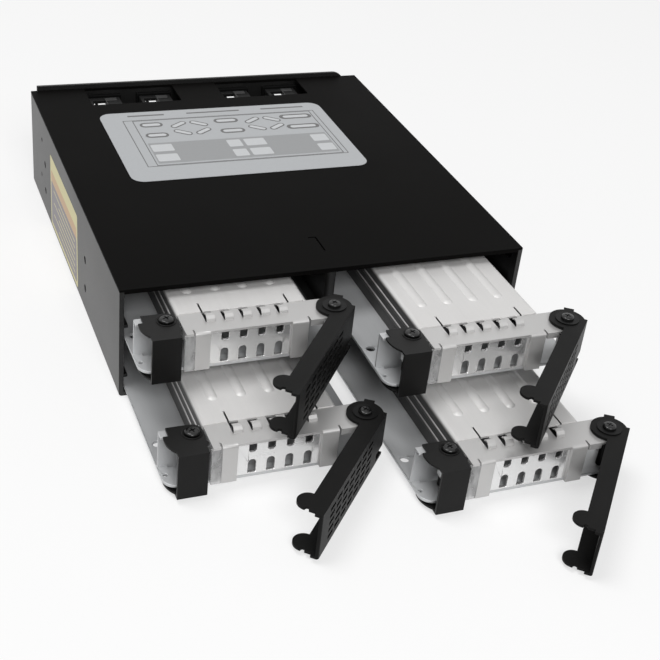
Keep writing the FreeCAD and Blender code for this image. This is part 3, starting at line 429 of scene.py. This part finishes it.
class Stock(Enum):
    """The finishes that the drive cage is made in."""

    LID = PowderCoat("lid_paint", grey(0.07, 0.06), 0.55, specular=0.02)
    CAGE = PowderCoat("cage_paint", grey(0.1, 0.02), 0.4, specular=0.5)
    TRAY = PressedSteel("tray_steel", grey(0.76, -0.015), 0.4, metallic=0.3)
    # The cover's walls facing left or right get painted shade: darkened to 0.09 of the colour.
    COVER = PressedSteel("cover_steel", grey(0.84, 0.012), 0.52, metallic=0.25, painted_side_shade=0.09)
    FRONT = PowderCoat("front_paint", grey(0.74, 0.01), 0.36, peel=0.000006, metallic=0.45)
    VENT = PressedSteel("vent_plate", grey(0.9), 0.22, metallic=0.75, streaks=0.05)
    LEVER = MouldedPlastic("lever_plastic", grey(0.1, 0.02), 0.45, specular=0.08)
    LATCH = MouldedPlastic("latch_plastic", grey(0.09, 0.02), 0.42, specular=0.16)
    PIN = PowderCoat("pin_steel", grey(0.07), 0.35, specular=0.12)
    SCREW = PowderCoat("screw_black", grey(0.06), 0.22, specular=0.45)
    SPRING = PressedSteel("spring_steel", grey(0.9), 0.3, metallic=0.5)
    CLEAR = ClearPlastic("clear_plastic", grey(0.8), 0.1, alpha=0.42)
    RAIL = MouldedPlastic("rail_plastic", grey(0.12), 0.45)
    BOARD = SolderMask("board_resin", (0.004, 0.022, 0.01), 0.4)
    SOCKET = MouldedPlastic("socket_plastic", grey(0.1), 0.45, specular=0.3)
    # Painted shade: the clips' steel is darkened to grey 0.3 to stand in for the shade inside the socket
    # windows.
    CLIP = PressedSteel("clip_steel", grey(0.3), 0.45, metallic=0.6)
    ZINC = PressedSteel("zinc_steel", grey(0.7), 0.35, metallic=0.8)
    # Painted shade: flat black for the frames that darken the socket gaps.
    GAP_SHADE = MouldedPlastic("gap_shade_black", grey(0.06), 0.9, specular=0.1)
    LABEL = Printed("label_film", grey(0.7, -0.03), 0.4, metallic=0.3)
    INK = Printed("label_ink", grey(0.42), 0.6)
    SHADE = Printed("label_shade", grey(0.6, -0.02), 0.5)
    PALE = Printed("label_pale", grey(0.8, -0.02), 0.5)
    CREAM = Printed("sticker_paper", (0.72, 0.66, 0.36), 0.5)
    PEACH = Printed("sticker_band", (0.62, 0.42, 0.24), 0.5)
    LILAC = Printed("sticker_field", (0.26, 0.24, 0.26), 0.5)


# ------------------------------------------------------------------------------------------ mesh tools
def mesh_object(name: str, build: Callable[[bmesh.types.BMesh], None], stock: Stock) -> bpy.types.Object:
    """Make an object from bmesh code.

    Args:
        name: The object's name.
        build: Fills the empty bmesh.
        stock: The finish.

    Returns:
        The linked object.
    """
    mesh = bpy.data.meshes.new(name)
    shape = bmesh.new()
    build(shape)
    bmesh.ops.recalc_face_normals(shape, faces=shape.faces)
    shape.to_mesh(mesh)
    shape.free()
    made = bpy.data.objects.new(name, mesh)
    bpy.context.scene.collection.objects.link(made)
    mesh.materials.append(stock.value.material())
    return made


def rounded_outline(low: Point, high: Point, radius: float, steps: int = 6) -> list[Point]:
    """Draw a rectangle with round corners.

    Args:
        low: Its low corner.
        high: Its high corner.
        radius: The corners' radius.
        steps: Segments to a corner.

    Returns:
        Its points, anticlockwise.
    """
    centres = ((high[0] - radius, high[1] - radius), (low[0] + radius, high[1] - radius),
               (low[0] + radius, low[1] + radius), (high[0] - radius, low[1] + radius))
    points = []
    for quarter, (x, y) in enumerate(centres):
        for step in range(steps + 1):
            angle = math.pi / 2 * (quarter + step / steps)
            points.append((x + radius * math.cos(angle), y + radius * math.sin(angle)))
    return points


def bridge(shape: bmesh.types.BMesh, first: list[bmesh.types.BMVert],
           second: list[bmesh.types.BMVert]) -> None:
    """Join two closed loops of the same number of points with a band of faces.

    Args:
        shape: The bmesh to add to.
        first: One loop.
        second: The other loop.
    """
    for index in range(len(first)):
        following = (index + 1) % len(first)
        shape.faces.new((first[index], first[following], second[following], second[index]))


def add_prism(shape: bmesh.types.BMesh, foot: list[Vector], crown: list[Vector]) -> None:
    """Add a closed body between two loops of the same number of points.

    Args:
        shape: The bmesh to add to.
        foot: Points of the lower loop.
        crown: Points of the upper loop.
    """
    lower = [shape.verts.new(point) for point in foot]
    upper = [shape.verts.new(point) for point in crown]
    shape.faces.new(upper)
    shape.faces.new(list(reversed(lower)))
    bridge(shape, lower, upper)


def add_slab(shape: bmesh.types.BMesh, outline: list[Point], lift: Lift, thickness: float) -> None:
    """Add a flat plate with a closed outline.

    Args:
        shape: The bmesh to add to.
        outline: The plate's outline on its own plane.
        lift: Puts a point of the plane, at a height above it, in space.
        thickness: The plate's thickness.
    """
    add_prism(shape, [lift(x, y, 0.0) for x, y in outline], [lift(x, y, thickness) for x, y in outline])


def add_turned(shape: bmesh.types.BMesh, profile: Sequence[Point], centre: Vector, closed: bool = False,
               steps: int = 48) -> None:
    """Add a body turned about a vertical axis.

    Args:
        shape: The bmesh to add to.
        profile: Radius and height of each ring, from the top round to the bottom.
        centre: Foot of the axis.
        closed: True where the last ring joins the first, as in a hoop; otherwise both ends are capped.
        steps: Segments round the axis.
    """
    turns = [math.tau * step / steps for step in range(steps)]
    rings = []
    for radius, height in profile:
        spokes = (Vector((radius * math.cos(turn), radius * math.sin(turn), height)) for turn in turns)
        rings.append([shape.verts.new(centre + spoke) for spoke in spokes])
    for upper, lower in zip(rings, rings[1:] + rings[:1] if closed else rings[1:]):
        for step in range(steps):
            following = (step + 1) % steps
            shape.faces.new((upper[step], lower[step], lower[following], upper[following]))
    if not closed:
        shape.faces.new(rings[0])
        shape.faces.new(list(reversed(rings[-1])))


def add_frame(shape: bmesh.types.BMesh, low: Point, high: Point, wall: float, near: float,
              far: float) -> None:
    """Add an upright rectangular frame between two planes across Y.

    Args:
        shape: The bmesh to add to.
        low: Its low outer corner as x and z.
        high: Its high outer corner as x and z.
        wall: Width of its bars.
        near: The front plane's y.
        far: The rear plane's y.
    """
    loops = []
    for y in (near, far):
        for inset in (0.0, wall):
            x0, z0, x1, z1 = low[0] + inset, low[1] + inset, high[0] - inset, high[1] - inset
            corners = ((x0, z0), (x1, z0), (x1, z1), (x0, z1))
            loops.append([shape.verts.new((x, y, z)) for x, z in corners])
    front_outer, front_inner, rear_outer, rear_inner = loops
    bridge(shape, front_outer, front_inner)
    bridge(shape, rear_outer, rear_inner)
    bridge(shape, front_outer, rear_outer)
    bridge(shape, front_inner, rear_inner)


def smooth(piece: bpy.types.Object, angle: float = 35.0) -> None:
    """Shade a piece smoothly, with edges sharper than an angle in degrees kept crisp."""
    piece.data.shade_smooth()
    piece.data.set_sharp_from_angle(angle=math.radians(angle))


def settle(piece: bpy.types.Object) -> None:
    """Replace a piece's mesh by the result of its modifiers.

    Args:
        piece: The piece.
    """
    bpy.context.view_layer.update()
    evaluated = piece.evaluated_get(bpy.context.evaluated_depsgraph_get())
    mesh = bpy.data.meshes.new_from_object(evaluated)
    piece.modifiers.clear()
    piece.data = mesh


def axis_point(node: str, height: float) -> Vector:
    """Return the point at a height on the upright middle line of a node's box."""
    low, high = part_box(node)
    return Vector(((low.x + high.x) / 2, (low.y + high.y) / 2, height))


# ---------------------------------------------------------------------------------------- sub-assemblies
@dataclass
class ScrewHead:
    """Low pan head with a cross recess, seated on the top of a pin."""

    pin: str
    body: str
    slot: str
    radius: float
    rise: float = 0.55 * MM
    sink: float = 0.05 * MM
    arm_width: float = 0.62 * MM
    arm_share: float = 0.66
    arm_taper: float = 0.6
    recess: float = 0.42 * MM
    turn: float = 35.0

    @cached_property
    def seat(self) -> Vector:
        """Return the middle of the head's underside."""
        return axis_point(self.pin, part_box(self.pin)[1].z)

    def build(self) -> bpy.types.Object:
        """Build the screw head.

        Returns:
            The head, with its recess cut.
        """
        piece = mesh_object(f"{self.pin}_head", self.add_head, Stock.SCREW)
        for quarter in (0, 90):
            self.cut_arm(piece, math.radians(self.turn + quarter))
        smooth(piece)
        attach(piece, self.body)
        return piece

    def add_head(self, shape: bmesh.types.BMesh) -> None:
        """Add the domed head.

        Args:
            shape: The bmesh to add to.
        """
        profile = [(self.radius * across, self.rise * up) for across, up in HEAD_DOME]
        profile.append((self.radius, -self.sink))
        add_turned(shape, profile, self.seat)

    def add_arm(self, shape: bmesh.types.BMesh, turn: float) -> None:
        """Add the bar that one arm of the recess takes away, narrower towards its foot.

        Args:
            shape: The bmesh to add to.
            turn: The arm's direction in radians.
        """
        reach = self.radius * self.arm_share
        along = Vector((math.cos(turn), math.sin(turn), 0.0))
        across = Vector((-along.y, along.x, 0.0))
        loops = []
        for height, share in ((self.rise - self.recess, self.arm_taper), (2 * self.rise, 1.0)):
            half = self.arm_width / 2 * share
            corners = ((-reach, -half), (reach, -half), (reach, half), (-reach, half))
            loops.append([self.seat + along * x * share + across * y + Vector((0, 0, height))
                          for x, y in corners])
        add_prism(shape, *loops)

    def cut_arm(self, piece: bpy.types.Object, turn: float) -> None:
        """Cut one arm of the recess.

        Args:
            piece: The screw head.
            turn: The arm's direction in radians.
        """
        cutter = mesh_object("recess_cutter", partial(self.add_arm, turn=turn), Stock.SCREW)
        cut = piece.modifiers.new("recess", "BOOLEAN")
        cut.object = cutter
        cut.operation = "DIFFERENCE"
        settle(piece)
        bpy.data.objects.remove(cutter)


@dataclass
class BossRing:
    """Raised moulded ring round a screw head."""

    pin: str
    body: str
    slot: str
    radius: float
    seat: float
    width: float = 0.5 * MM
    rise: float = 0.3 * MM
    sink: float = 0.1 * MM

    def build(self) -> bpy.types.Object:
        """Build the ring.

        Returns:
            The ring, standing at the seat's height.
        """
        piece = mesh_object(f"{self.pin}_ring", self.add_ring, Stock.LATCH)
        smooth(piece)
        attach(piece, self.body)
        return piece

    def add_ring(self, shape: bmesh.types.BMesh) -> None:
        """Add the ring, with a rounded crest.

        Args:
            shape: The bmesh to add to.
        """
        outer = self.radius + self.width
        profile = ((self.radius, -self.sink), (self.radius, self.rise * 0.7),
                   (self.radius + self.width * 0.3, self.rise), (self.radius + self.width * 0.7, self.rise),
                   (outer, self.rise * 0.6), (outer, -self.sink))
        add_turned(shape, profile, axis_point(self.pin, self.seat), closed=True)


@dataclass
class SpringCoil:
    """Torsion spring drawn as wire: a leg, close turns round the boss, and a second leg."""

    number: int
    wire: float = 0.5 * MM
    turns: int = 5
    steps: int = 20

    def route(self) -> list[Vector]:
        """Lay out the wire's middle line inside the plain spring's box.

        Returns:
            Its points, from the front leg to the rear one.
        """
        low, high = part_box(f"carrier_{self.number}_latch_spring")
        centre = axis_point(f"carrier_{self.number}_latch_pin", 0.0)
        radius = (high.x - low.x - self.wire) / 2
        foot, head = low.z + self.wire / 2, high.z - self.wire / 2
        points = [Vector((centre.x - radius, low.y + self.wire / 2, foot))]
        total = (self.turns + 0.5) * self.steps
        for step in range(int(total) + 1):
            turn = math.pi + math.tau * step / self.steps
            points.append(Vector((centre.x + radius * math.cos(turn), centre.y + radius * math.sin(turn),
                                  foot + (head - foot) * step / total)))
        points.append(Vector((centre.x + radius, high.y - self.wire / 2, head)))
        return points

    def build(self) -> bpy.types.Object:
        """Build the wire.

        Returns:
            The wire, which stands for the plain spring node.
        """
        node = f"carrier_{self.number}_latch_spring"
        points = self.route()
        curve = bpy.data.curves.new(f"{node}_wire", "CURVE")
        curve.dimensions = "3D"
        curve.bevel_depth = self.wire / 2
        curve.bevel_resolution = 3
        curve.use_fill_caps = True
        spline = curve.splines.new("POLY")
        spline.points.add(len(points) - 1)
        for place, point in zip(spline.points, points):
            place.co = (*point, 1.0)
        curve.materials.append(Stock.SPRING.value.material())
        piece = bpy.data.objects.new(f"{node}_wire", curve)
        bpy.context.scene.collection.objects.link(piece)
        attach(piece, f"latch_{self.number}")
        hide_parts(node)
        return piece


@dataclass
class SocketGapShade:
    """Black frames between the data sockets and the rear plate: painted shade standing in for the dark gap
    there, not a real part.
    """

    socket_width: float = 13.4 * MM
    pair_spacing: float = 22.0 * MM
    wall: float = 1.3 * MM
    lap: float = 0.8 * MM
    clearance: float = 0.05 * MM

    def build(self) -> bpy.types.Object:
        """Build the painted-shade frames.

        Returns:
            The four frames as one piece.
        """
        piece = mesh_object("socket_gap_shade", self.add_frames, Stock.GAP_SHADE)
        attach(piece, "cage")
        return piece

    def add_frames(self, shape: bmesh.types.BMesh) -> None:
        """Add a frame behind each socket.

        Args:
            shape: The bmesh to add to.
        """
        low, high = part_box("cable_sockets")
        near = high.y + self.clearance
        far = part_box("rear_plate")[0].y - self.clearance
        half = self.socket_width / 2
        first, last = low.x + half, high.x - half
        for middle in (first, first + self.pair_spacing, last - self.pair_spacing, last):
            start = (middle - half - self.lap, low.z - self.lap)
            end = (middle + half + self.lap, high.z + self.lap)
            add_frame(shape, start, end, self.wall + self.lap, near, far)


@dataclass
class TopLabel:
    """Silver film label on the lid, with a plain generic layout diagram."""

    left: float = 22.0 * MM
    right: float = 117.0 * MM
    front: float = 73.6 * MM
    back: float = 136.0 * MM
    corner: float = 5.0 * MM
    thickness: float = 0.12 * MM
    ink: float = 0.04 * MM
    line: float = 0.35 * MM

    # Places and sizes on the label are shares of its width and depth.
    head_bars = (((0.2, 0.94), (0.16, 0.018)), ((0.5, 0.94), (0.24, 0.016)), ((0.82, 0.94), (0.2, 0.016)))
    bays = ((0.2, 0.1), (0.53, 0.11), (0.85, 0.15))
    bay_rows = (0.63, 0.79)
    windows = ((0.19, 0.09), (0.5, 0.06), (0.59, 0.09), (0.88, 0.07))
    window_rows = (0.3, 0.44)

    @cached_property
    def origin(self) -> Vector:
        """Return the lid's front left corner, on its top."""
        low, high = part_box("top_cover")
        return Vector((low.x, low.y, high.z))

    @cached_property
    def span(self) -> Vector:
        """Return the label's width and depth."""
        return Vector((self.right - self.left, self.back - self.front))

    @cached_property
    def links(self) -> list[tuple[Point, float]]:
        """Return the place and the lean in degrees of each slanting link between the bays."""
        return [((middle + side * 0.045, 0.71 + level * 0.06), -35.0 * side * level)
                for middle in (0.36, 0.69) for side in (-1, 1) for level in (-1, 1)]

    def on_lid(self, x: float, y: float, height: float) -> Vector:
        """Return the point at x, y from the lid's corner, at a height above the lid."""
        return self.origin + Vector((x, y, height))

    def on_film(self, x: float, y: float, height: float) -> Vector:
        """Return the same point above the film."""
        return self.on_lid(x, y, height + self.thickness)

    def bar(self, shape: bmesh.types.BMesh, place: Point, size: Point, turn: float = 0.0,
            round_off: float = 0.2) -> None:
        """Add a printed bar.

        Args:
            shape: The bmesh to add to.
            place: Its middle.
            size: Its width and depth.
            turn: Its turn in degrees.
            round_off: Its corners' radius, as a share of its smaller side.
        """
        wide, deep = size[0] * self.span.x, size[1] * self.span.y
        middle = Vector((self.left + place[0] * self.span.x, self.front + place[1] * self.span.y))
        radius = min(wide, deep) * round_off
        lean = Matrix.Rotation(math.radians(turn), 2)
        corners = rounded_outline((-wide / 2, -deep / 2), (wide / 2, deep / 2), radius, 3)
        outline = [tuple(middle + lean @ Vector(point)) for point in corners]
        add_slab(shape, outline, self.on_film, self.ink)

    def rim(self, shape: bmesh.types.BMesh, place: Point, size: Point) -> None:
        """Add a printed frame.

        Args:
            shape: The bmesh to add to.
            place: Its middle.
            size: Its width and depth.
        """
        thin = (self.line / self.span.x, self.line / self.span.y)
        for side in (-1, 1):
            self.bar(shape, (place[0], place[1] + side * size[1] / 2), (size[0], thin[1]))
            self.bar(shape, (place[0] + side * size[0] / 2, place[1]), (thin[0], size[1]))

    def add_film(self, shape: bmesh.types.BMesh) -> None:
        """Add the film."""
        outline = rounded_outline((self.left, self.front), (self.right, self.back), self.corner)
        add_slab(shape, outline, self.on_lid, self.thickness)

    def add_marks(self, shape: bmesh.types.BMesh) -> None:
        """Add the diagram's outlines: head bars, two rims, three pairs of bays and the links.

        Args:
            shape: The bmesh to add to.
        """
        for place, size in self.head_bars:
            self.bar(shape, place, size)
        self.rim(shape, (0.52, 0.53), (0.86, 0.68))
        self.rim(shape, (0.53, 0.53), (0.8, 0.66))
        for x, wide in self.bays:
            for y in self.bay_rows:
                self.bar(shape, (x, y), (wide, 0.07), round_off=0.5)
        for place, lean in self.links:
            self.bar(shape, place, (0.085, 0.05), lean, 0.5)

    def add_field(self, shape: bmesh.types.BMesh) -> None:
        """Add the grey field under the bays."""
        self.bar(shape, (0.53, 0.37), (0.78, 0.29), round_off=0.02)

    def add_windows(self, shape: bmesh.types.BMesh) -> None:
        """Add the pale windows in the field, the bays and the links.

        Args:
            shape: The bmesh to add to.
        """
        for x, wide in self.windows:
            for y in self.window_rows:
                self.bar(shape, (x, y), (wide, 0.1), round_off=0.1)
        for x, wide in self.bays:
            for y in self.bay_rows:
                self.bar(shape, (x, y), (wide * 0.78, 0.036), round_off=0.5)
        for place, lean in self.links:
            self.bar(shape, place, (0.073, 0.03), lean, 0.5)

    def build(self) -> list[bpy.types.Object]:
        """Build the label.

        Returns:
            The film and its printed marks.
        """
        pieces = [mesh_object("top_label", self.add_film, Stock.LABEL),
                  mesh_object("top_label_marks", self.add_marks, Stock.INK),
                  mesh_object("top_label_fields", self.add_field, Stock.SHADE),
                  mesh_object("top_label_windows", self.add_windows, Stock.PALE)]
        pieces[3].data.transform(Matrix.Translation(Vector((0.0, 0.0, self.ink / 2))))
        for piece in pieces:
            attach(piece, "cage")
        return pieces


@dataclass
class SideSticker:
    """Bare paper sticker on the left wall: a cream border, a warm band and a ruled grey field."""

    front: float = 68.0 * MM
    back: float = 121.4 * MM
    foot: float = 1.9 * MM
    top: float = 32.4 * MM
    border: float = 1.6 * MM
    head: float = 6.0 * MM
    band: float = 4.5 * MM
    rules: int = 6
    corner: float = 1.2 * MM
    rule: float = 0.5 * MM
    thickness: float = 0.02 * MM

    @cached_property
    def origin(self) -> Vector:
        """Return the wall's front lower corner."""
        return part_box("cage_base")[0]

    def plate(self, name: str, start: Point, end: Point, height: float, stock: Stock) -> bpy.types.Object:
        """Make one flat piece on the wall.

        Args:
            name: The piece's name.
            start: Its low corner as y and z from the wall's corner.
            end: Its high corner.
            height: How far it stands off the wall.
            stock: Its finish.

        Returns:
            The piece.
        """
        def on_wall(y: float, z: float, above: float) -> Vector:
            """Return the point at y, z from the wall's corner, above the piece's foot."""
            return Vector((self.origin.x - height - above, self.origin.y + y, self.origin.z + z))

        outline = rounded_outline(start, end, min(self.corner, (end[1] - start[1]) * 0.3))
        builder = partial(add_slab, outline=outline, lift=on_wall, thickness=self.thickness)
        piece = mesh_object(name, builder, stock)
        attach(piece, "cage")
        return piece

    def build(self) -> list[bpy.types.Object]:
        """Build the sticker.

        Returns:
            The paper, its two printed fields and its rules.
        """
        near, far = self.front + self.border, self.back - self.border
        band_top = self.top - self.head
        field_top = band_top - self.band
        foot = self.foot + self.border
        pieces = [
            self.plate("side_sticker", (self.front, self.foot), (self.back, self.top), 0.0, Stock.CREAM),
            self.plate("side_sticker_band", (near, field_top), (far, band_top), self.thickness, Stock.PEACH),
            self.plate("side_sticker_field", (near, foot), (far, field_top), self.thickness, Stock.LILAC),
        ]
        pitch = (field_top - foot) / (self.rules + 1)
        for rule in range(self.rules):
            z = foot + (rule + 1) * pitch
            length = (far - near) * (0.9 if rule % 2 else 0.7)
            start, end = (near + 2 * self.border, z - self.rule / 2), (near + length, z + self.rule / 2)
            name = f"side_sticker_rule_{rule + 1}"
            pieces.append(self.plate(name, start, end, 2 * self.thickness, Stock.CREAM))
        return pieces


@dataclass
class Cage:
    """The steel shell with its board, sockets and rails."""

    edge: float = 0.2 * MM

    def finishes(self) -> dict[str, Stock]:
        """List the finishes.

        Returns:
            The finish of every fixed node.
        """
        named = {
            "cage_base": Stock.CAGE, "top_cover": Stock.LID, "centre_divider": Stock.CAGE,
            "rear_plate": Stock.CAGE, "backplane_board": Stock.BOARD, "power_socket": Stock.SOCKET,
            "cable_sockets": Stock.SOCKET, "socket_clips": Stock.CLIP, "board_spacers": Stock.ZINC,
            "board_screws": Stock.ZINC, "rear_screws": Stock.PIN,
        }
        for number in CARRIER_NUMBERS:
            named[f"drive_socket_{number}"] = Stock.SOCKET
            named[f"guide_rails_{number}"] = Stock.RAIL
        return named

    def build(self, nodes: dict[str, bpy.types.Object]) -> None:
        """Dress the cage's nodes and add its label and sticker.

        Args:
            nodes: The frame's nodes by name.
        """
        for name, stock in self.finishes().items():
            dress(nodes[name], stock, 0.0 if name == "top_cover" else self.edge)
        for piece in (SocketGapShade().build(), *TopLabel().build(), *SideSticker().build()):
            LOG.info("%s made", piece.name)


@dataclass
class Carrier:
    """One sliding carrier with its lever and thumb latch."""

    number: int
    edge: float = 0.15 * MM
    latch_screw: float = 2.3 * MM
    lever_screw: float = 2.1 * MM
    latch_ring: float = 2.75 * MM

    def finishes(self) -> dict[str, Stock]:
        """List the finishes.

        Returns:
            The finish of every node of the carrier.
        """
        named = {
            "tray": Stock.TRAY, "cover": Stock.COVER, "front": Stock.FRONT, "vent_panel": Stock.VENT,
            "light_pipe": Stock.CLEAR, "lever": Stock.LEVER, "lever_pin": Stock.PIN,
            "latch": Stock.LATCH, "latch_pin": Stock.PIN, "latch_spring": Stock.SPRING,
        }
        return {f"carrier_{self.number}_{piece}": stock for piece, stock in named.items()}

    def build(self, nodes: dict[str, bpy.types.Object]) -> None:
        """Dress the carrier's nodes and add its screw heads, boss ring and spring wire.

        Args:
            nodes: The frame's nodes by name.
        """
        for name, stock in self.finishes().items():
            dress(nodes[name], stock, self.edge)
        carrier, latch = f"carrier_{self.number}", f"latch_{self.number}"
        latch_pin, latch_top = f"{carrier}_latch_pin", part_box(f"{carrier}_latch")[1].z
        pieces = [
            ScrewHead(latch_pin, carrier, PIN_SLOT, self.latch_screw, turn=20.0).build(),
            ScrewHead(f"{carrier}_lever_pin", carrier, PIN_SLOT, self.lever_screw).build(),
            BossRing(latch_pin, latch, LATCH_SLOT, self.latch_ring, latch_top).build(),
            SpringCoil(self.number).build(),
        ]
        for piece in pieces:
            LOG.info("%s made", piece.name)


def dress(node: bpy.types.Object, stock: Stock, edge: float) -> None:
    """Give a node its finish and take the razor sharpness off its edges.

    Args:
        node: The node's object.
        stock: Its finish.
        edge: Width of the eased edges; 0 leaves them as they are.
    """
    material = stock.value.material()
    if not node.material_slots:
        node.data.materials.append(material)
    for slot in node.material_slots:
        slot.material = material
    LOG.info("%s dressed", node.name)
    if not edge:
        return
    weld = node.modifiers.new("weld", "WELD")
    weld.merge_threshold = WELD_DISTANCE
    bevel = node.modifiers.new("eased edges", "BEVEL")
    bevel.width = edge
    bevel.segments = EDGE_STEPS
    bevel.limit_method = "ANGLE"
    bevel.angle_limit = math.radians(EDGE_ANGLE)
    bevel.use_clamp_overlap = True
    flat = node.modifiers.new("flat faces", "WEIGHTED_NORMAL")
    flat.mode = "FACE_AREA"
    flat.keep_sharp = True


# ------------------------------------------------------------------------------------------ stage, light
@dataclass
class Studio:
    """White floor, pale world, soft lamps and the camera."""

    world_fill: float = 0.22
    floor_glow: float = 0.6
    floor_reach: float = 6.0
    target: Triple = (0.0, -0.04, 0.02)
    lamp_size: float = 1.1
    front_place: Triple = (-0.26, -2.09, 1.58)
    front_power: float = 36.0
    top_place: Triple = (-0.77, 0.22, 2.42)
    top_power: float = 26.0
    eye_mm: Triple = (-151.56, -420.38, 252.24)
    azimuth: float = 24.32
    elevation: float = 32.44
    roll: float = 6.52
    sensor_mm: float = 36.0
    lens_mm: float = 68.87

    def floor(self) -> None:
        """Add the floor, white to the camera and still taking the object's shadow."""
        mesh = bpy.data.meshes.new("floor")
        reach = self.floor_reach
        corners = [(-reach, -reach, 0.0), (reach, -reach, 0.0), (reach, reach, 0.0), (-reach, reach, 0.0)]
        mesh.from_pydata(corners, [], [(0, 1, 2, 3)])
        floor = bpy.data.objects.new("floor", mesh)
        bpy.context.scene.collection.objects.link(floor)
        graph = Graph(bpy.data.materials.new("floor_paper"))
        paper = graph.node("ShaderNodeBsdfDiffuse", None, {"Color": WHITE})
        glow = graph.node("ShaderNodeEmission", None, {"Color": WHITE, "Strength": 1.0})
        mixed = graph.node("ShaderNodeMixShader", None,
                           {0: graph.seen_directly() * self.floor_glow, 1: paper, 2: glow})
        graph.node("ShaderNodeOutputMaterial", None, {"Surface": mixed})
        mesh.materials.append(graph.holder)

    def world(self) -> None:
        """Make the world white to the camera and softer as a light."""
        world = bpy.data.worlds.new("studio")
        bpy.context.scene.world = world
        graph = Graph(world)
        fill = graph.node("ShaderNodeBackground", None, {"Color": WHITE, "Strength": self.world_fill})
        backdrop = graph.node("ShaderNodeBackground", None, {"Color": WHITE, "Strength": 1.0})
        mixed = graph.node("ShaderNodeMixShader", None, {0: graph.seen_directly(), 1: fill, 2: backdrop})
        graph.node("ShaderNodeOutputWorld", None, {"Surface": mixed})

    def lamp(self, name: str, place: Vector, power: float) -> None:
        """Add a soft square lamp that points at the target.

        Args:
            name: The lamp's name.
            place: Where it hangs.
            power: Its power in watts.
        """
        data = bpy.data.lights.new(name, "AREA")
        data.shape = "SQUARE"
        data.size = self.lamp_size
        data.energy = power
        lamp = bpy.data.objects.new(name, data)
        lamp.location = place
        lamp.rotation_euler = (Vector(self.target) - place).to_track_quat("-Z", "Y").to_euler()
        bpy.context.scene.collection.objects.link(lamp)

    def camera(self) -> None:
        """Add the camera: a three-quarter view from above the front left, rolled a little."""
        data = bpy.data.cameras.new("camera")
        data.sensor_width = self.sensor_mm
        data.lens = self.lens_mm
        data.clip_start = 0.01
        data.clip_end = 20.0
        angles = (self.azimuth, self.elevation, self.roll)
        azimuth, elevation, roll = (math.radians(angle) for angle in angles)
        ahead = Vector((math.sin(azimuth) * math.cos(elevation), math.cos(azimuth) * math.cos(elevation),
                        -math.sin(elevation)))
        level = Vector((math.cos(azimuth), -math.sin(azimuth), 0.0))
        above = level.cross(ahead)
        right = level * math.cos(roll) + above * math.sin(roll)
        up = above * math.cos(roll) - level * math.sin(roll)
        axes = Matrix((right, up, -ahead)).transposed()
        camera = bpy.data.objects.new("camera", data)
        camera.matrix_world = Matrix.Translation(Vector(self.eye_mm) * MM) @ axes.to_4x4()
        bpy.context.scene.collection.objects.link(camera)
        bpy.context.scene.camera = camera

    def build(self) -> None:
        """Set up everything round the object."""
        self.floor()
        self.world()
        self.lamp("front", Vector(self.front_place), self.front_power)
        self.lamp("top", Vector(self.top_place), self.top_power)
        self.camera()
        bpy.context.scene.view_settings.view_transform = "Standard"
        LOG.info("studio ready")


def main() -> None:
    """Dress the drive cage and set it in the studio."""
    logging.basicConfig(level=logging.INFO, format="%(message)s")
    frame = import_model()
    Studio().build()
    Cage().build(frame["nodes"])
    for number in CARRIER_NUMBERS:
        Carrier(number).build(frame["nodes"])


if __name__ == "__main__":
    main()
